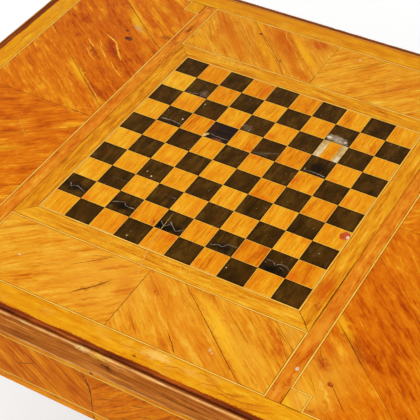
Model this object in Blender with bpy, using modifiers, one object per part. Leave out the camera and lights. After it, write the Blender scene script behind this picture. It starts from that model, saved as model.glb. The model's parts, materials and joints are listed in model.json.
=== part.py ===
"""A games table with square tapering legs.

The top is a loose panel that drops inside a thin mitred rim. Its show side holds a board of ten by ten
squares in marquetry, and its other side is lined with baize for cards. Under it lies a well with the points
of backgammon, and beside the well two drawers slide out at opposite corners of the frieze.
Metres, +Z up, +X along the length, the front towards -Y, the origin on the floor under the centre.
"""

import math

import bmesh
import bpy
from mathutils import Matrix, Vector

# The table as a whole
TABLE_LENGTH = 0.836
TABLE_DEPTH = 0.660
TABLE_HEIGHT = 0.740
SEAT_GAP = 0.0003
OVERRUN = 0.010
MERGE = 0.00003
ARC_STEPS = 4
TURNING_STEPS = 20
SIDES = ("front", "right", "back", "left")

# The rim that the top drops into
RIM_THICKNESS = 0.0050
RIM_HEIGHT = 0.034
RIM_PROUD = 0.0030
RIM_ROUND = 0.0016
RIM_EASE = 0.0008

# The loose top: a core with mitred lippings, veneered above and lined with baize below
TOP_THICKNESS = 0.022
TOP_CLEARANCE = 0.0006
LIPPING_WIDTH = 0.0055
LIPPING_ROUND = 0.0035
LIPPING_EASE = 0.0010
VENEER = 0.0012
BAIZE_THICKNESS = 0.0012
BAIZE_MARGIN = 0.040

# The marquetry, from the middle out
SQUARES = 10
SQUARE = 0.034
SAW_LINE = 0.0003
STRINGING = 0.0018
FRAME_WIDTH = 0.0215
STRIP_WIDTH = 0.017
BAND_WIDTH = 0.026
CORNER_SQUARE = 0.0225

# The case: rails between the legs, a floor in their grooves, a well and two compartments
FRIEZE_HEIGHT = 0.087
RAIL_THICKNESS = 0.020
TENON_LENGTH = 0.026
TENON_THICKNESS = 0.008
TENON_HEIGHT = 0.056
FLOOR_THICKNESS = 0.009
FLOOR_RISE = 0.008
FLOOR_GROOVE = 0.006
POINTS = 6
POINT_BASE = 0.034
POINT_LENGTH = 0.235
POINT_TIP = 0.0020
POINT_BORDER = 0.012
POINT_EDGE = 0.0018
BAR_THICKNESS = 0.020
WELL_END_THICKNESS = 0.010
HOUSING = 0.005
DECK_THICKNESS = 0.008
DECK_REBATE = 0.006

# The legs and their brass shoes
LEG_BLOCK = 0.044
LEG_DROP = 0.010
NECK_HEIGHT = 0.005
NECK_DEPTH = 0.0045
COLLAR_HEIGHT = 0.004
COLLAR_INSET = 0.0018
LEG_TOP = 0.039
LEG_FOOT = 0.025
SHOE_HEIGHT = 0.042
SHOE_WALL = 0.0018
SHOE_FLOOR = 0.004
SHOE_FLANGE = 0.0016
SHOE_FLANGE_HEIGHT = 0.005

# The drawers, their guides and their knobs
DRAWER_HEIGHT = 0.060
DRAWER_CLEARANCE = 0.0008
DRAWER_LENGTH = 0.360
DRAWER_FRONT = 0.016
DRAWER_BACK = 0.008
DRAWER_SIDE = 0.008
DRAWER_SIDE_HEIGHT = 0.052
DRAWER_BOTTOM = 0.004
DRAWER_BOTTOM_RISE = 0.006
DRAWER_GROOVE = 0.003
DOVETAILS = 2
DOVETAIL_LAP = 0.005
DOVETAIL_ROOT = 0.008
DOVETAIL_FLARE = 0.002
GUIDE_WIDTH = 0.006
GUIDE_HEIGHT = 0.014
GUIDE_BITE = 0.0045
STOP_THICKNESS = 0.012
STOP_HEIGHT = 0.011
STOP_BITE = 0.0030
KNOB_PLATE_RADIUS = 0.0085
KNOB_PLATE_HEIGHT = 0.0020
KNOB_NECK_RADIUS = 0.0032
KNOB_NECK_HEIGHT = 0.0045
KNOB_RADIUS = 0.0070
KNOB_SHANK_RADIUS = 0.0020
KNOB_SHANK_LENGTH = 0.011

# Heights that several pieces share
TOP_UNDERSIDE = TABLE_HEIGHT - TOP_THICKNESS
CASE_TOP = TOP_UNDERSIDE - SEAT_GAP
RIM_BOTTOM = TABLE_HEIGHT - RIM_HEIGHT
FRIEZE_BOTTOM = RIM_BOTTOM - FRIEZE_HEIGHT
FLOOR_TOP = FRIEZE_BOTTOM + FLOOR_RISE + FLOOR_THICKNESS
LEG_BLOCK_BOTTOM = FRIEZE_BOTTOM - LEG_DROP


def inside(half_sizes, margin):
    """The half length and half depth of a rectangle that lies a margin inside another."""
    return half_sizes[0] - margin, half_sizes[1] - margin


# Half lengths and half depths in plan, from the outside in
OUTSIDE = (TABLE_LENGTH / 2, TABLE_DEPTH / 2)
FRIEZE = inside(OUTSIDE, RIM_PROUD)
RIM_INSIDE = inside(OUTSIDE, RIM_THICKNESS)
RAIL_INSIDE = inside(FRIEZE, RAIL_THICKNESS)
LEG_INSIDE = inside(FRIEZE, LEG_BLOCK)
TOP_EDGE = inside(RIM_INSIDE, TOP_CLEARANCE)
CORE = inside(TOP_EDGE, LIPPING_WIDTH + SEAT_GAP)
FIELD = inside(CORE, BAND_WIDTH + SEAT_GAP)
BOARD = SQUARES * SQUARE / 2
BOARD_LINE = BOARD + SEAT_GAP + STRINGING
BOARD_FRAME = BOARD_LINE + SEAT_GAP + FRAME_WIDTH
STRIP_OUTSIDE = BOARD_FRAME + SEAT_GAP + STRIP_WIDTH
WELL = BAR_THICKNESS / 2 + SEAT_GAP + POINTS * POINT_BASE
WELL_END = WELL + SEAT_GAP + WELL_END_THICKNESS
OPENING_NEAR = WELL_END + SEAT_GAP + GUIDE_WIDTH
OPENING_FAR = LEG_INSIDE[0] - SEAT_GAP - GUIDE_WIDTH

# Finishes: base colour, roughness, metallic
FINISHES = {
    "tulipwood": ((0.62, 0.31, 0.10), 0.35, 0.0),
    "golden_banding": ((0.72, 0.42, 0.10), 0.35, 0.0),
    "board_veneer": ((0.55, 0.32, 0.10), 0.30, 0.0),
    "boxwood_line": ((0.90, 0.66, 0.26), 0.35, 0.0),
    "rim_wood": ((0.38, 0.19, 0.07), 0.40, 0.0),
    "dark_edge": ((0.09, 0.03, 0.015), 0.45, 0.0),
    "carcase_oak": ((0.50, 0.34, 0.19), 0.65, 0.0),
    "well_veneer": ((0.30, 0.14, 0.06), 0.40, 0.0),
    "point_veneer": ((0.80, 0.62, 0.36), 0.40, 0.0),
    "green_baize": ((0.05, 0.22, 0.11), 0.95, 0.0),
    "brass": ((0.78, 0.57, 0.22), 0.30, 1.0),
}


def clear_scene():
    for obj in list(bpy.data.objects):
        bpy.data.objects.remove(obj, do_unlink=True)


def new_collection(name):
    collection = bpy.data.collections.new(name)
    bpy.context.scene.collection.children.link(collection)
    return collection


clear_scene()
TABLE = new_collection("games_table")
CUTTERS = new_collection("cutters")


def finish(name):
    """The material of that name, made when first asked for."""
    material = bpy.data.materials.get(name)
    if material is None:
        colour, roughness, metallic = FINISHES[name]
        material = bpy.data.materials.new(name)
        material.use_nodes = True
        shader = material.node_tree.nodes["Principled BSDF"]
        shader.inputs["Base Color"].default_value = (*colour, 1.0)
        shader.inputs["Roughness"].default_value = roughness
        shader.inputs["Metallic"].default_value = metallic
    return material


def place(name, data, finish_name, location=(0, 0, 0), turn=0.0, carrier=None):
    """An object of the table, turned about its own Z axis and carried by an empty if it moves."""
    obj = bpy.data.objects.new(name, data)
    data.materials.append(finish(finish_name))
    obj.location = location
    obj.rotation_euler.z = turn
    obj.parent = carrier
    TABLE.objects.link(obj)
    return obj


def slide_empty(name, location, turn=0.0):
    """An empty on the line along which a loose piece moves."""
    empty = bpy.data.objects.new(name, None)
    empty.empty_display_size = SQUARE
    empty.location = location
    empty.rotation_euler.z = turn
    TABLE.objects.link(empty)
    return empty


def outline_curve(name, loops, thickness):
    """A flat 2D curve filled between its loops and given a thickness."""
    curve = bpy.data.curves.new(name, "CURVE")
    curve.dimensions = "2D"
    curve.fill_mode = "BOTH"
    curve.extrude = thickness / 2
    for loop in loops:
        spline = curve.splines.new("POLY")
        spline.points.add(len(loop) - 1)
        for point, (x, y) in zip(spline.points, loop):
            point.co = (x, y, 0, 1)
        spline.use_cyclic_u = True
    return curve


def outline_mesh(name, loops, thickness):
    """The same shape as a closed mesh, for pieces that are cut afterwards."""
    curve = outline_curve(name, loops, thickness)
    guide = bpy.data.objects.new(name + "_outline", curve)
    TABLE.objects.link(guide)
    graph = bpy.context.evaluated_depsgraph_get()
    mesh = bpy.data.meshes.new_from_object(guide.evaluated_get(graph))
    mesh.name = name
    mesh.materials.clear()
    bpy.data.objects.remove(guide, do_unlink=True)
    bpy.data.curves.remove(curve)
    shape = bmesh.new()
    shape.from_mesh(mesh)
    bmesh.ops.remove_doubles(shape, verts=shape.verts, dist=MERGE)
    if len(loops) == 1:
        for level in (-1, 1):
            cap = [face for face in shape.faces if face.calc_center_median().z * level > thickness / 3]
            bmesh.ops.dissolve_faces(shape, faces=cap)
    bmesh.ops.recalc_face_normals(shape, faces=shape.faces)
    shape.to_mesh(mesh)
    shape.free()
    return mesh


def box_mesh(name, size):
    mesh = bpy.data.meshes.new(name)
    shape = bmesh.new()
    bmesh.ops.create_cube(shape, size=1)
    bmesh.ops.scale(shape, vec=size, verts=shape.verts)
    shape.to_mesh(mesh)
    shape.free()
    return mesh


def middle_and_size(low, high):
    low, high = Vector(low), Vector(high)
    return (low + high) / 2, high - low


def board(name, low, high, finish_name, turn=0.0, carrier=None):
    """A plain board between two corners, the whole turned about the origin."""
    middle, size = middle_and_size(low, high)
    middle = Matrix.Rotation(turn, 3, "Z") @ middle
    return place(name, box_mesh(name, size), finish_name, middle, turn, carrier)


def cutter(name, data, location=(0, 0, 0), turn=0.0, carrier=None):
    obj = bpy.data.objects.new(name, data)
    obj.location = location
    obj.rotation_euler.z = turn
    obj.parent = carrier
    obj.hide_render = True
    obj.display_type = "WIRE"
    CUTTERS.objects.link(obj)
    return obj


def box_cutter(name, low, high, turn=0.0, carrier=None):
    middle, size = middle_and_size(low, high)
    middle = Matrix.Rotation(turn, 3, "Z") @ middle
    return cutter(name, box_mesh(name, size), middle, turn, carrier)


def cut(obj, tool, operation="DIFFERENCE"):
    boolean = obj.modifiers.new(tool.name, "BOOLEAN")
    boolean.operation = operation
    boolean.solver = "EXACT"
    boolean.object = tool


def rectangle(low_x, high_x, low_y, high_y):
    return [(low_x, low_y), (high_x, low_y), (high_x, high_y), (low_x, high_y)]


def notched_rectangle(low_x, high_x, low_y, high_y, notch):
    """A rectangle whose four corners step in by a square notch."""
    return [
        (low_x + notch, low_y), (high_x - notch, low_y), (high_x - notch, low_y + notch),
        (high_x, low_y + notch), (high_x, high_y - notch), (high_x - notch, high_y - notch),
        (high_x - notch, high_y), (low_x + notch, high_y), (low_x + notch, high_y - notch),
        (low_x, high_y - notch), (low_x, low_y + notch), (low_x + notch, low_y + notch),
    ]


def rounded_profile(width, height, radii):
    """A rectangle with rounded corners, from the inner bottom corner round by the outer ones."""
    corners = ((0, 0), (width, 0), (width, height), (0, height))
    inward = ((1, 1), (-1, 1), (-1, -1), (1, -1))
    points = []
    for index, (corner, towards, radius) in enumerate(zip(corners, inward, radii)):
        if not radius:
            points.append(corner)
            continue
        centre = (corner[0] + towards[0] * radius, corner[1] + towards[1] * radius)
        start = math.pi + index * math.pi / 2
        for step in range(ARC_STEPS + 1):
            angle = start + step / ARC_STEPS * math.pi / 2
            points.append((centre[0] + radius * math.cos(angle), centre[1] + radius * math.sin(angle)))
    return points


def mitred_length(name, profile, inner, bottom, side, finish_name, carrier=None):
    """One side of a mitred frame: a profile, drawn outward and upward, run along it and cut at 45 degrees."""
    along, across = inner if side in ("front", "back") else inner[::-1]
    reach = along + max(outward for outward, _ in profile) + OVERRUN
    mesh = outline_mesh(name, [profile], 2 * reach)
    mesh.transform(Matrix(((0, 0, -1, 0), (-1, 0, 0, -across), (0, 1, 0, 0), (0, 0, 0, 1))))
    shape = bmesh.new()
    shape.from_mesh(mesh)
    for end in (-1, 1):
        normal = Vector((end, 1, 0)).normalized()
        heel = Vector((end * along, -across, 0)) - normal * SEAT_GAP / 2
        everything = shape.verts[:] + shape.edges[:] + shape.faces[:]
        sawn = bmesh.ops.bisect_plane(shape, geom=everything, plane_co=heel, plane_no=normal, clear_outer=True)
        edges = [part for part in sawn["geom_cut"] if isinstance(part, bmesh.types.BMEdge)]
        bmesh.ops.edgeloop_fill(shape, edges=edges)
    bmesh.ops.recalc_face_normals(shape, faces=shape.faces)
    shape.to_mesh(mesh)
    shape.free()
    turn = SIDES.index(side) * math.pi / 2
    return place(name, mesh, finish_name, (0, 0, bottom), turn, carrier)


def veneer_sheet(name, loops, finish_name, carrier, top=TABLE_HEIGHT):
    """A piece of veneer with its show face at a height."""
    sheet = outline_mesh(name, loops, VENEER)
    height = top - VENEER / 2 - (carrier.location.z if carrier else 0)
    return place(name, sheet, finish_name, (0, 0, height), 0.0, carrier)


def lofted_square(name, stations, finish_name, location, carrier=None):
    """A square post or cup: half widths and heights, run round in four steps with its sides along X and Y."""
    mesh = bpy.data.meshes.new(name)
    points = [(half * math.sqrt(2), 0, height) for half, height in stations]
    mesh.from_pydata(points, [(i, i + 1) for i in range(len(points) - 1)], [])
    obj = place(name, mesh, finish_name, location, math.pi / 4, carrier)
    screw = obj.modifiers.new("four_sides", "SCREW")
    screw.steps = screw.render_steps = 4
    screw.use_merge_vertices = True
    screw.merge_threshold = MERGE
    screw.use_smooth_shade = False
    return obj


# The loose top, carried by an empty on its lifting line
TOP_LIFT = slide_empty("top_lift", (0, 0, TOP_UNDERSIDE))


def top_core():
    """The panel under the veneers, with a shallow bed below for the baize."""
    low = (-CORE[0], -CORE[1], 0)
    high = (CORE[0], CORE[1], TOP_THICKNESS - VENEER - SEAT_GAP)
    core = board("top_core", low, high, "carcase_oak", carrier=TOP_LIFT)
    cloth = inside(CORE, BAIZE_MARGIN)
    bed = inside(cloth, -SEAT_GAP)
    bed_low = (-bed[0], -bed[1], -OVERRUN)
    cut(core, box_cutter("baize_bed", bed_low, (*bed, BAIZE_THICKNESS + SEAT_GAP), carrier=TOP_LIFT))
    baize_high = (*cloth, BAIZE_THICKNESS)
    board("baize", (-cloth[0], -cloth[1], 0), baize_high, "green_baize", carrier=TOP_LIFT)


def top_lippings():
    """Four mitred lippings of dark wood round the core, their upper edge rubbed round."""
    radii = (0, LIPPING_EASE, LIPPING_ROUND, 0)
    profile = rounded_profile(LIPPING_WIDTH, TOP_THICKNESS, radii)
    for side in SIDES:
        inner = inside(CORE, -SEAT_GAP)
        mitred_length(f"top_lipping_{side}", profile, inner, 0, side, "dark_edge", TOP_LIFT)


def chequer_board():
    """The sheet of squares, sawn and glued up, with a fine V along each joint of its face."""
    mesh = bpy.data.meshes.new("chequer_board")
    shape = bmesh.new()
    bmesh.ops.create_grid(shape, x_segments=SQUARES, y_segments=SQUARES, size=BOARD)
    squares = shape.faces[:]
    bmesh.ops.inset_individual(shape, faces=squares, thickness=SAW_LINE, depth=SAW_LINE)
    rim = [edge for edge in shape.edges if edge.is_boundary]
    walls = bmesh.ops.extrude_edge_only(shape, edges=rim)["geom"]
    lower = [part for part in walls if isinstance(part, bmesh.types.BMVert)]
    bmesh.ops.translate(shape, vec=(0, 0, SAW_LINE - VENEER), verts=lower)
    floor_edges = [edge for edge in shape.edges if edge.is_boundary]
    bmesh.ops.edgeloop_fill(shape, edges=floor_edges)
    bmesh.ops.recalc_face_normals(shape, faces=shape.faces)
    shape.to_mesh(mesh)
    shape.free()
    height = TOP_THICKNESS - SAW_LINE
    place("chequer_board", mesh, "board_veneer", (0, 0, height), 0.0, TOP_LIFT)


def board_surround():
    """A stringing line round the squares, and outside it a mitred frame in four lengths."""
    line_inner = BOARD + SEAT_GAP
    loops = [rectangle(-half, half, -half, half) for half in (BOARD_LINE, line_inner)]
    veneer_sheet("board_stringing", loops, "boxwood_line", TOP_LIFT)
    frame_inner = (BOARD_LINE + SEAT_GAP, BOARD_LINE + SEAT_GAP)
    profile = rounded_profile(FRAME_WIDTH, VENEER, (0, 0, 0, 0))
    bottom = TOP_THICKNESS - VENEER
    for side in SIDES:
        mitred_length(f"board_frame_{side}", profile, frame_inner, bottom, side, "tulipwood", TOP_LIFT)


def score(sheet, low, high):
    """A fine line cut half through a veneer, where two leaves meet."""
    tool_low = (*low, TABLE_HEIGHT - VENEER / 2)
    tool_high = (*high, TABLE_HEIGHT + OVERRUN)
    cut(sheet, box_cutter(sheet.name + "_joint", tool_low, tool_high))


def field_panels():
    """The panels that fill the rest of the top, each inside its own line of stringing."""
    edge = FIELD[1] + OVERRUN
    for side, way in (("front", -1), ("back", 1)):
        lows = sorted((way * (BOARD_FRAME + SEAT_GAP), way * FIELD[1]))
        loops = []
        for margin in (0, STRINGING, STRINGING + SEAT_GAP):
            half = BOARD_FRAME - margin
            loops.append(rectangle(-half, half, lows[0] + margin, lows[1] - margin))
        veneer_sheet(f"stringing_{side}", loops[:2], "boxwood_line", TOP_LIFT)
        panel = veneer_sheet(f"panel_{side}", loops[2:], "tulipwood", TOP_LIFT)
        score(panel, (-SAW_LINE / 2, lows[0] - OVERRUN), (SAW_LINE / 2, lows[1] + OVERRUN))
    for side, way in (("left", -1), ("right", 1)):
        strip = sorted((way * (BOARD_FRAME + SEAT_GAP), way * STRIP_OUTSIDE))
        loop = rectangle(*strip, -FIELD[1], FIELD[1])
        veneer_sheet(f"cross_strip_{side}", [loop], "tulipwood", TOP_LIFT)
        lows = sorted((way * (STRIP_OUTSIDE + SEAT_GAP), way * FIELD[0]))
        loops = []
        for margin in (0, STRINGING, STRINGING + SEAT_GAP):
            extent = (lows[0] + margin, lows[1] - margin, margin - FIELD[1], FIELD[1] - margin)
            loops.append(notched_rectangle(*extent, CORNER_SQUARE))
        veneer_sheet(f"stringing_{side}", loops[:2], "boxwood_line", TOP_LIFT)
        panel = veneer_sheet(f"panel_{side}", loops[2:], "tulipwood", TOP_LIFT)
        score(panel, (lows[0] - edge, -SAW_LINE / 2), (lows[1] + edge, SAW_LINE / 2))


def border_band():
    """The band along the top's edge, with the small squares that fill the notched corners."""
    inner = inside(CORE, BAND_WIDTH)
    step = CORNER_SQUARE
    near = STRIP_OUTSIDE + SEAT_GAP
    far = near + step - SEAT_GAP
    quarter = [
        (inner[0], inner[1] - step), (inner[0] - step, inner[1] - step), (inner[0] - step, inner[1]),
        (far, inner[1]), (far, inner[1] - step), (near, inner[1] - step), (near, inner[1]),
    ]
    loop = []
    for sign_x, sign_y in ((1, 1), (-1, 1), (-1, -1), (1, -1)):
        corner = [(sign_x * x, sign_y * y) for x, y in quarter]
        loop += corner if sign_x == sign_y else corner[::-1]
    outer = rectangle(-CORE[0], CORE[0], -CORE[1], CORE[1])
    veneer_sheet("border_band", [outer, loop], "golden_banding", TOP_LIFT)


def rim():
    """Four mitred lengths of moulding round the loose top, let into the upper edge of the case."""
    profile = rounded_profile(RIM_THICKNESS, RIM_HEIGHT, (0, RIM_ROUND, RIM_ROUND, RIM_EASE))
    for side in SIDES:
        mitred_length(f"rim_{side}", profile, RIM_INSIDE, RIM_BOTTOM, side, "rim_wood")


def rim_seat():
    """The rebate for the rim, cut from every rail and leg."""
    seat = inside(RIM_INSIDE, SEAT_GAP)
    clear = inside(OUTSIDE, -OVERRUN)
    loops = [rectangle(-x, x, -y, y) for x, y in (clear, seat)]
    height = RIM_HEIGHT + OVERRUN
    middle = RIM_BOTTOM - SEAT_GAP + height / 2
    return cutter("rim_seat", outline_mesh("rim_seat", loops, height), (0, 0, middle))


def tenoned_mesh(name, length, height):
    """A rail with a shouldered tenon drawn out of each end."""
    mesh = box_mesh(name, (length, RAIL_THICKNESS, height))
    shape = bmesh.new()
    shape.from_mesh(mesh)
    shares = (1, TENON_THICKNESS / RAIL_THICKNESS, TENON_HEIGHT / height)
    for end in [face for face in shape.faces if abs(face.normal.x) > abs(face.normal.y) + abs(face.normal.z)]:
        way = end.normal.copy()
        shoulder = bmesh.ops.extrude_discrete_faces(shape, faces=[end])["faces"][0]
        bmesh.ops.scale(shape, vec=shares, verts=shoulder.verts)
        cheek = bmesh.ops.extrude_discrete_faces(shape, faces=[shoulder])["faces"][0]
        bmesh.ops.translate(shape, vec=way * TENON_LENGTH, verts=cheek.verts)
    shape.to_mesh(mesh)
    shape.free()
    return mesh


def rails_and_legs():
    """Rails tenoned into the square blocks of the legs, flush with their outer faces."""
    seat = rim_seat()
    height = CASE_TOP - FRIEZE_BOTTOM
    level = (CASE_TOP + FRIEZE_BOTTOM) / 2
    rails = {}
    mortises = {}
    for index, side in enumerate(SIDES):
        along, across = FRIEZE if side in ("front", "back") else FRIEZE[::-1]
        run = along - LEG_BLOCK - SEAT_GAP
        turn = index * math.pi / 2
        middle = Matrix.Rotation(turn, 3, "Z") @ Vector((0, RAIL_THICKNESS / 2 - across, level))
        mesh = tenoned_mesh(f"rail_{side}", 2 * run, height)
        rails[side] = place(f"rail_{side}", mesh, "carcase_oak", middle, turn)
        cut(rails[side], seat)
        for end in (-1, 1):
            xs = sorted((end * (run - OVERRUN), end * (run + TENON_LENGTH + SEAT_GAP)))
            half = TENON_THICKNESS / 2 + SEAT_GAP
            depth = RAIL_THICKNESS / 2 - across
            rise = TENON_HEIGHT / 2 + SEAT_GAP
            low = (xs[0], depth - half, level - rise)
            high = (xs[1], depth + half, level + rise)
            mortises[side, end] = box_cutter(f"mortise_{side}_{end + 1}", low, high, turn)
    block = LEG_BLOCK / 2
    neck = LEG_BLOCK_BOTTOM - NECK_HEIGHT
    collar = neck - COLLAR_HEIGHT
    stations = [
        (0, CASE_TOP), (block, CASE_TOP), (block, LEG_BLOCK_BOTTOM), (block - NECK_DEPTH, LEG_BLOCK_BOTTOM),
        (block - NECK_DEPTH, neck), (block - COLLAR_INSET, neck), (block - COLLAR_INSET, collar),
        (LEG_TOP / 2, collar), (LEG_FOOT / 2, SHOE_FLOOR + SEAT_GAP), (0, SHOE_FLOOR + SEAT_GAP),
    ]
    for index, side in enumerate(SIDES):
        after = SIDES[(index + 1) % len(SIDES)]
        corner_x = FRIEZE[0] - block
        corner_y = FRIEZE[1] - block
        sign_x = 1 if "right" in (side, after) else -1
        sign_y = 1 if "back" in (side, after) else -1
        name = f"{'back' if sign_y > 0 else 'front'}_{'right' if sign_x > 0 else 'left'}"
        spot = (sign_x * corner_x, sign_y * corner_y, 0)
        leg = lofted_square(f"leg_{name}", stations, "tulipwood", spot)
        cut(leg, seat)
        cut(leg, mortises[side, 1])
        cut(leg, mortises[after, -1])
        shoe(f"shoe_{name}", spot, collar)
    return rails


def leg_half_width(height, collar):
    """Half the width of the tapering leg at a height."""
    foot = SHOE_FLOOR + SEAT_GAP
    share = (height - foot) / (collar - foot)
    return (LEG_FOOT + share * (LEG_TOP - LEG_FOOT)) / 2


def shoe(name, spot, collar):
    """A cast brass cup that the foot of the leg stands in."""
    inner_top = leg_half_width(SHOE_HEIGHT, collar) + SEAT_GAP
    inner_low = leg_half_width(SHOE_FLOOR, collar) + SEAT_GAP
    low = inner_low + SHOE_WALL
    flange_line = low + (inner_top - inner_low) * SHOE_FLANGE_HEIGHT / SHOE_HEIGHT
    stations = [
        (0, SHOE_FLOOR), (inner_low, SHOE_FLOOR), (inner_top, SHOE_HEIGHT), (inner_top + SHOE_WALL, SHOE_HEIGHT),
        (flange_line, SHOE_FLANGE_HEIGHT), (low + SHOE_FLANGE, SHOE_FLANGE_HEIGHT), (low + SHOE_FLANGE, 0), (0, 0),
    ]
    lofted_square(name, stations, "brass", spot)


def leg_clear_outline(low_x, high_x, half_y):
    """A board between the rails, notched round each leg block that it meets."""
    leg_x, leg_y = inside(LEG_INSIDE, SEAT_GAP)
    points = []
    for way, ends in ((-1, (low_x, high_x)), (1, (high_x, low_x))):
        for position, x in enumerate(ends):
            edge = (x, way * half_y)
            if abs(x) <= leg_x:
                points.append(edge)
                continue
            stop = math.copysign(leg_x, x)
            notch = [(x, way * leg_y), (stop, way * leg_y), (stop, way * half_y)]
            points += notch if position == 0 else notch[::-1]
    return points


def case_floor(rails):
    """The floor, held in grooves of the rails, with the guides and stops of the drawers glued on it."""
    half = inside(RAIL_INSIDE, -FLOOR_GROOVE)
    mesh = outline_mesh("case_floor", [leg_clear_outline(-half[0], half[0], half[1])], FLOOR_THICKNESS)
    floor = place("case_floor", mesh, "carcase_oak", (0, 0, FLOOR_TOP - FLOOR_THICKNESS / 2))
    room = inside(half, -SEAT_GAP)
    low = FLOOR_TOP - FLOOR_THICKNESS - SEAT_GAP
    groove = box_cutter("floor_groove", (-room[0], -room[1], low), (*room, FLOOR_TOP + SEAT_GAP))
    for rail in rails.values():
        cut(rail, groove)
    guide_end = LEG_INSIDE[1] - GUIDE_WIDTH
    stop_front = DRAWER_LENGTH - FRIEZE[1] + SEAT_GAP
    for hand, turn in (("right", 0.0), ("left", math.pi)):
        for place_name, near in (("inner", OPENING_NEAR - GUIDE_WIDTH), ("outer", OPENING_FAR)):
            low = (near, -guide_end, FLOOR_TOP - GUIDE_BITE)
            high = (near + GUIDE_WIDTH, guide_end, FLOOR_TOP + GUIDE_HEIGHT)
            cut(floor, box_cutter(f"guide_{place_name}_{hand}", low, high, turn), "UNION")
        low = (OPENING_NEAR - GUIDE_WIDTH / 2, stop_front, FLOOR_TOP - STOP_BITE)
        high = (OPENING_FAR + GUIDE_WIDTH / 2, stop_front + STOP_THICKNESS, FLOOR_TOP + STOP_HEIGHT)
        cut(floor, box_cutter(f"drawer_stop_{hand}", low, high, turn), "UNION")


def well(rails):
    """The ends and the bar of the well, housed in the long rails, and the inlaid points of each half."""
    reach = RAIL_INSIDE[1] + HOUSING
    boards = (
        ("well_end_left", -WELL_END, WELL_END_THICKNESS),
        ("well_bar", -BAR_THICKNESS / 2, BAR_THICKNESS),
        ("well_end_right", WELL + SEAT_GAP, WELL_END_THICKNESS),
    )
    for name, start, thickness in boards:
        low = (start, -reach, FLOOR_TOP + SEAT_GAP)
        high = (start + thickness, reach, CASE_TOP)
        board(name, low, high, "well_veneer")
        room_low = (start - SEAT_GAP, -reach - SEAT_GAP, FLOOR_TOP)
        room_high = (start + thickness + SEAT_GAP, reach + SEAT_GAP, CASE_TOP + OVERRUN)
        housing = box_cutter(f"{name}_housing", room_low, room_high)
        for side in ("front", "back"):
            cut(rails[side], housing)
    for side, way in (("left", -1), ("right", 1)):
        points_sheet(f"points_{side}", way)


def points_sheet(name, way):
    """Twelve points of one half of the well, inlaid with the border that joins them at their feet."""
    start = BAR_THICKNESS / 2 + SEAT_GAP
    low_x, high_x = sorted((way * start, way * WELL))
    low_x, high_x = low_x + SEAT_GAP, high_x - SEAT_GAP
    edge = RAIL_INSIDE[1] - SEAT_GAP
    foot = edge - POINT_BORDER
    first = low_x + POINT_EDGE
    base = (high_x - low_x - 2 * POINT_EDGE) / POINTS
    loop = []
    for row in (-1, 1):
        order = range(POINTS) if row < 0 else reversed(range(POINTS))
        for index in order:
            middle = first + (index + 0.5) * base
            feet = [middle - base / 2, middle - POINT_TIP / 2, middle + POINT_TIP / 2, middle + base / 2]
            depths = [foot, foot - POINT_LENGTH, foot - POINT_LENGTH, foot]
            corners = [(x, row * y) for x, y in zip(feet, depths)]
            loop += (corners if row < 0 else corners[::-1])[:-1]
        end = first + POINTS * base if row < 0 else first
        loop.append((end, row * foot))
    outer = rectangle(low_x, high_x, -edge, edge)
    veneer_sheet(name, [outer, loop], "point_veneer", None, FLOOR_TOP + SEAT_GAP + VENEER)


def decks(rails):
    """Thin boards over the two drawer compartments, let into rebates of the rails."""
    half_y = RAIL_INSIDE[1] + DECK_REBATE
    near = WELL_END + SEAT_GAP
    far = RAIL_INSIDE[0] + DECK_REBATE
    low_z = CASE_TOP - DECK_THICKNESS
    for side, ends in (("right", (near, far)), ("left", (-far, -near))):
        mesh = outline_mesh(f"deck_{side}", [leg_clear_outline(*ends, half_y)], DECK_THICKNESS)
        place(f"deck_{side}", mesh, "carcase_oak", (0, 0, CASE_TOP - DECK_THICKNESS / 2))
        low = (ends[0] - SEAT_GAP, -half_y - SEAT_GAP, low_z - SEAT_GAP)
        high = (ends[1] + SEAT_GAP, half_y + SEAT_GAP, CASE_TOP + OVERRUN)
        rebate = box_cutter(f"deck_rebate_{side}", low, high)
        for rail_side in ("front", "back", side):
            cut(rails[rail_side], rebate)


# Sizes of the drawers that follow from the opening they slide in
OPENING_WIDTH = OPENING_FAR - OPENING_NEAR
DRAWER_MIDDLE = (OPENING_FAR + OPENING_NEAR) / 2
DRAWER_HALF = OPENING_WIDTH / 2 - DRAWER_CLEARANCE
SIDE_BOTTOM = SEAT_GAP
PANEL_TOP = SIDE_BOTTOM + DRAWER_BOTTOM_RISE + DRAWER_BOTTOM
SIDE_START = DRAWER_FRONT + SEAT_GAP
SIDE_END = DRAWER_LENGTH - DRAWER_BACK - SEAT_GAP


def tail_heights():
    """The middle of each dovetail, spread over the side above the bottom's groove."""
    room = DRAWER_SIDE_HEIGHT - PANEL_TOP
    return [PANEL_TOP + room * (index + 0.5) / DOVETAILS for index in range(DOVETAILS)]


def tail(middle, root, tip, grow=0.0):
    """Four corners of one dovetail, from its root on the shoulder to its wider tip."""
    way = math.copysign(1, tip - root)
    start = root - way * grow
    end = tip + way * grow
    neck = DOVETAIL_ROOT / 2 + grow
    head = neck + DOVETAIL_FLARE
    return [(start, middle - neck), (end, middle - head), (end, middle + head), (start, middle + neck)]


def drawer_side_outline():
    """The side seen square on, its front tails short for the lap and its back tails full length."""
    high = SIDE_BOTTOM + DRAWER_SIDE_HEIGHT
    points = [(SIDE_START, SIDE_BOTTOM), (SIDE_END, SIDE_BOTTOM)]
    for middle in tail_heights():
        points += tail(middle, SIDE_END, DRAWER_LENGTH)
    points += [(SIDE_END, high), (SIDE_START, high)]
    for middle in reversed(tail_heights()):
        points += tail(middle, SIDE_START, DOVETAIL_LAP)[::-1]
    return points


def upright(mesh, x):
    """Turns an outline drawn as distance from the drawer's front and height to stand along Y at x."""
    mesh.transform(Matrix(((0, 0, 1, x), (1, 0, 0, -FRIEZE[1]), (0, 1, 0, 0), (0, 0, 0, 1))))
    return mesh


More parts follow.
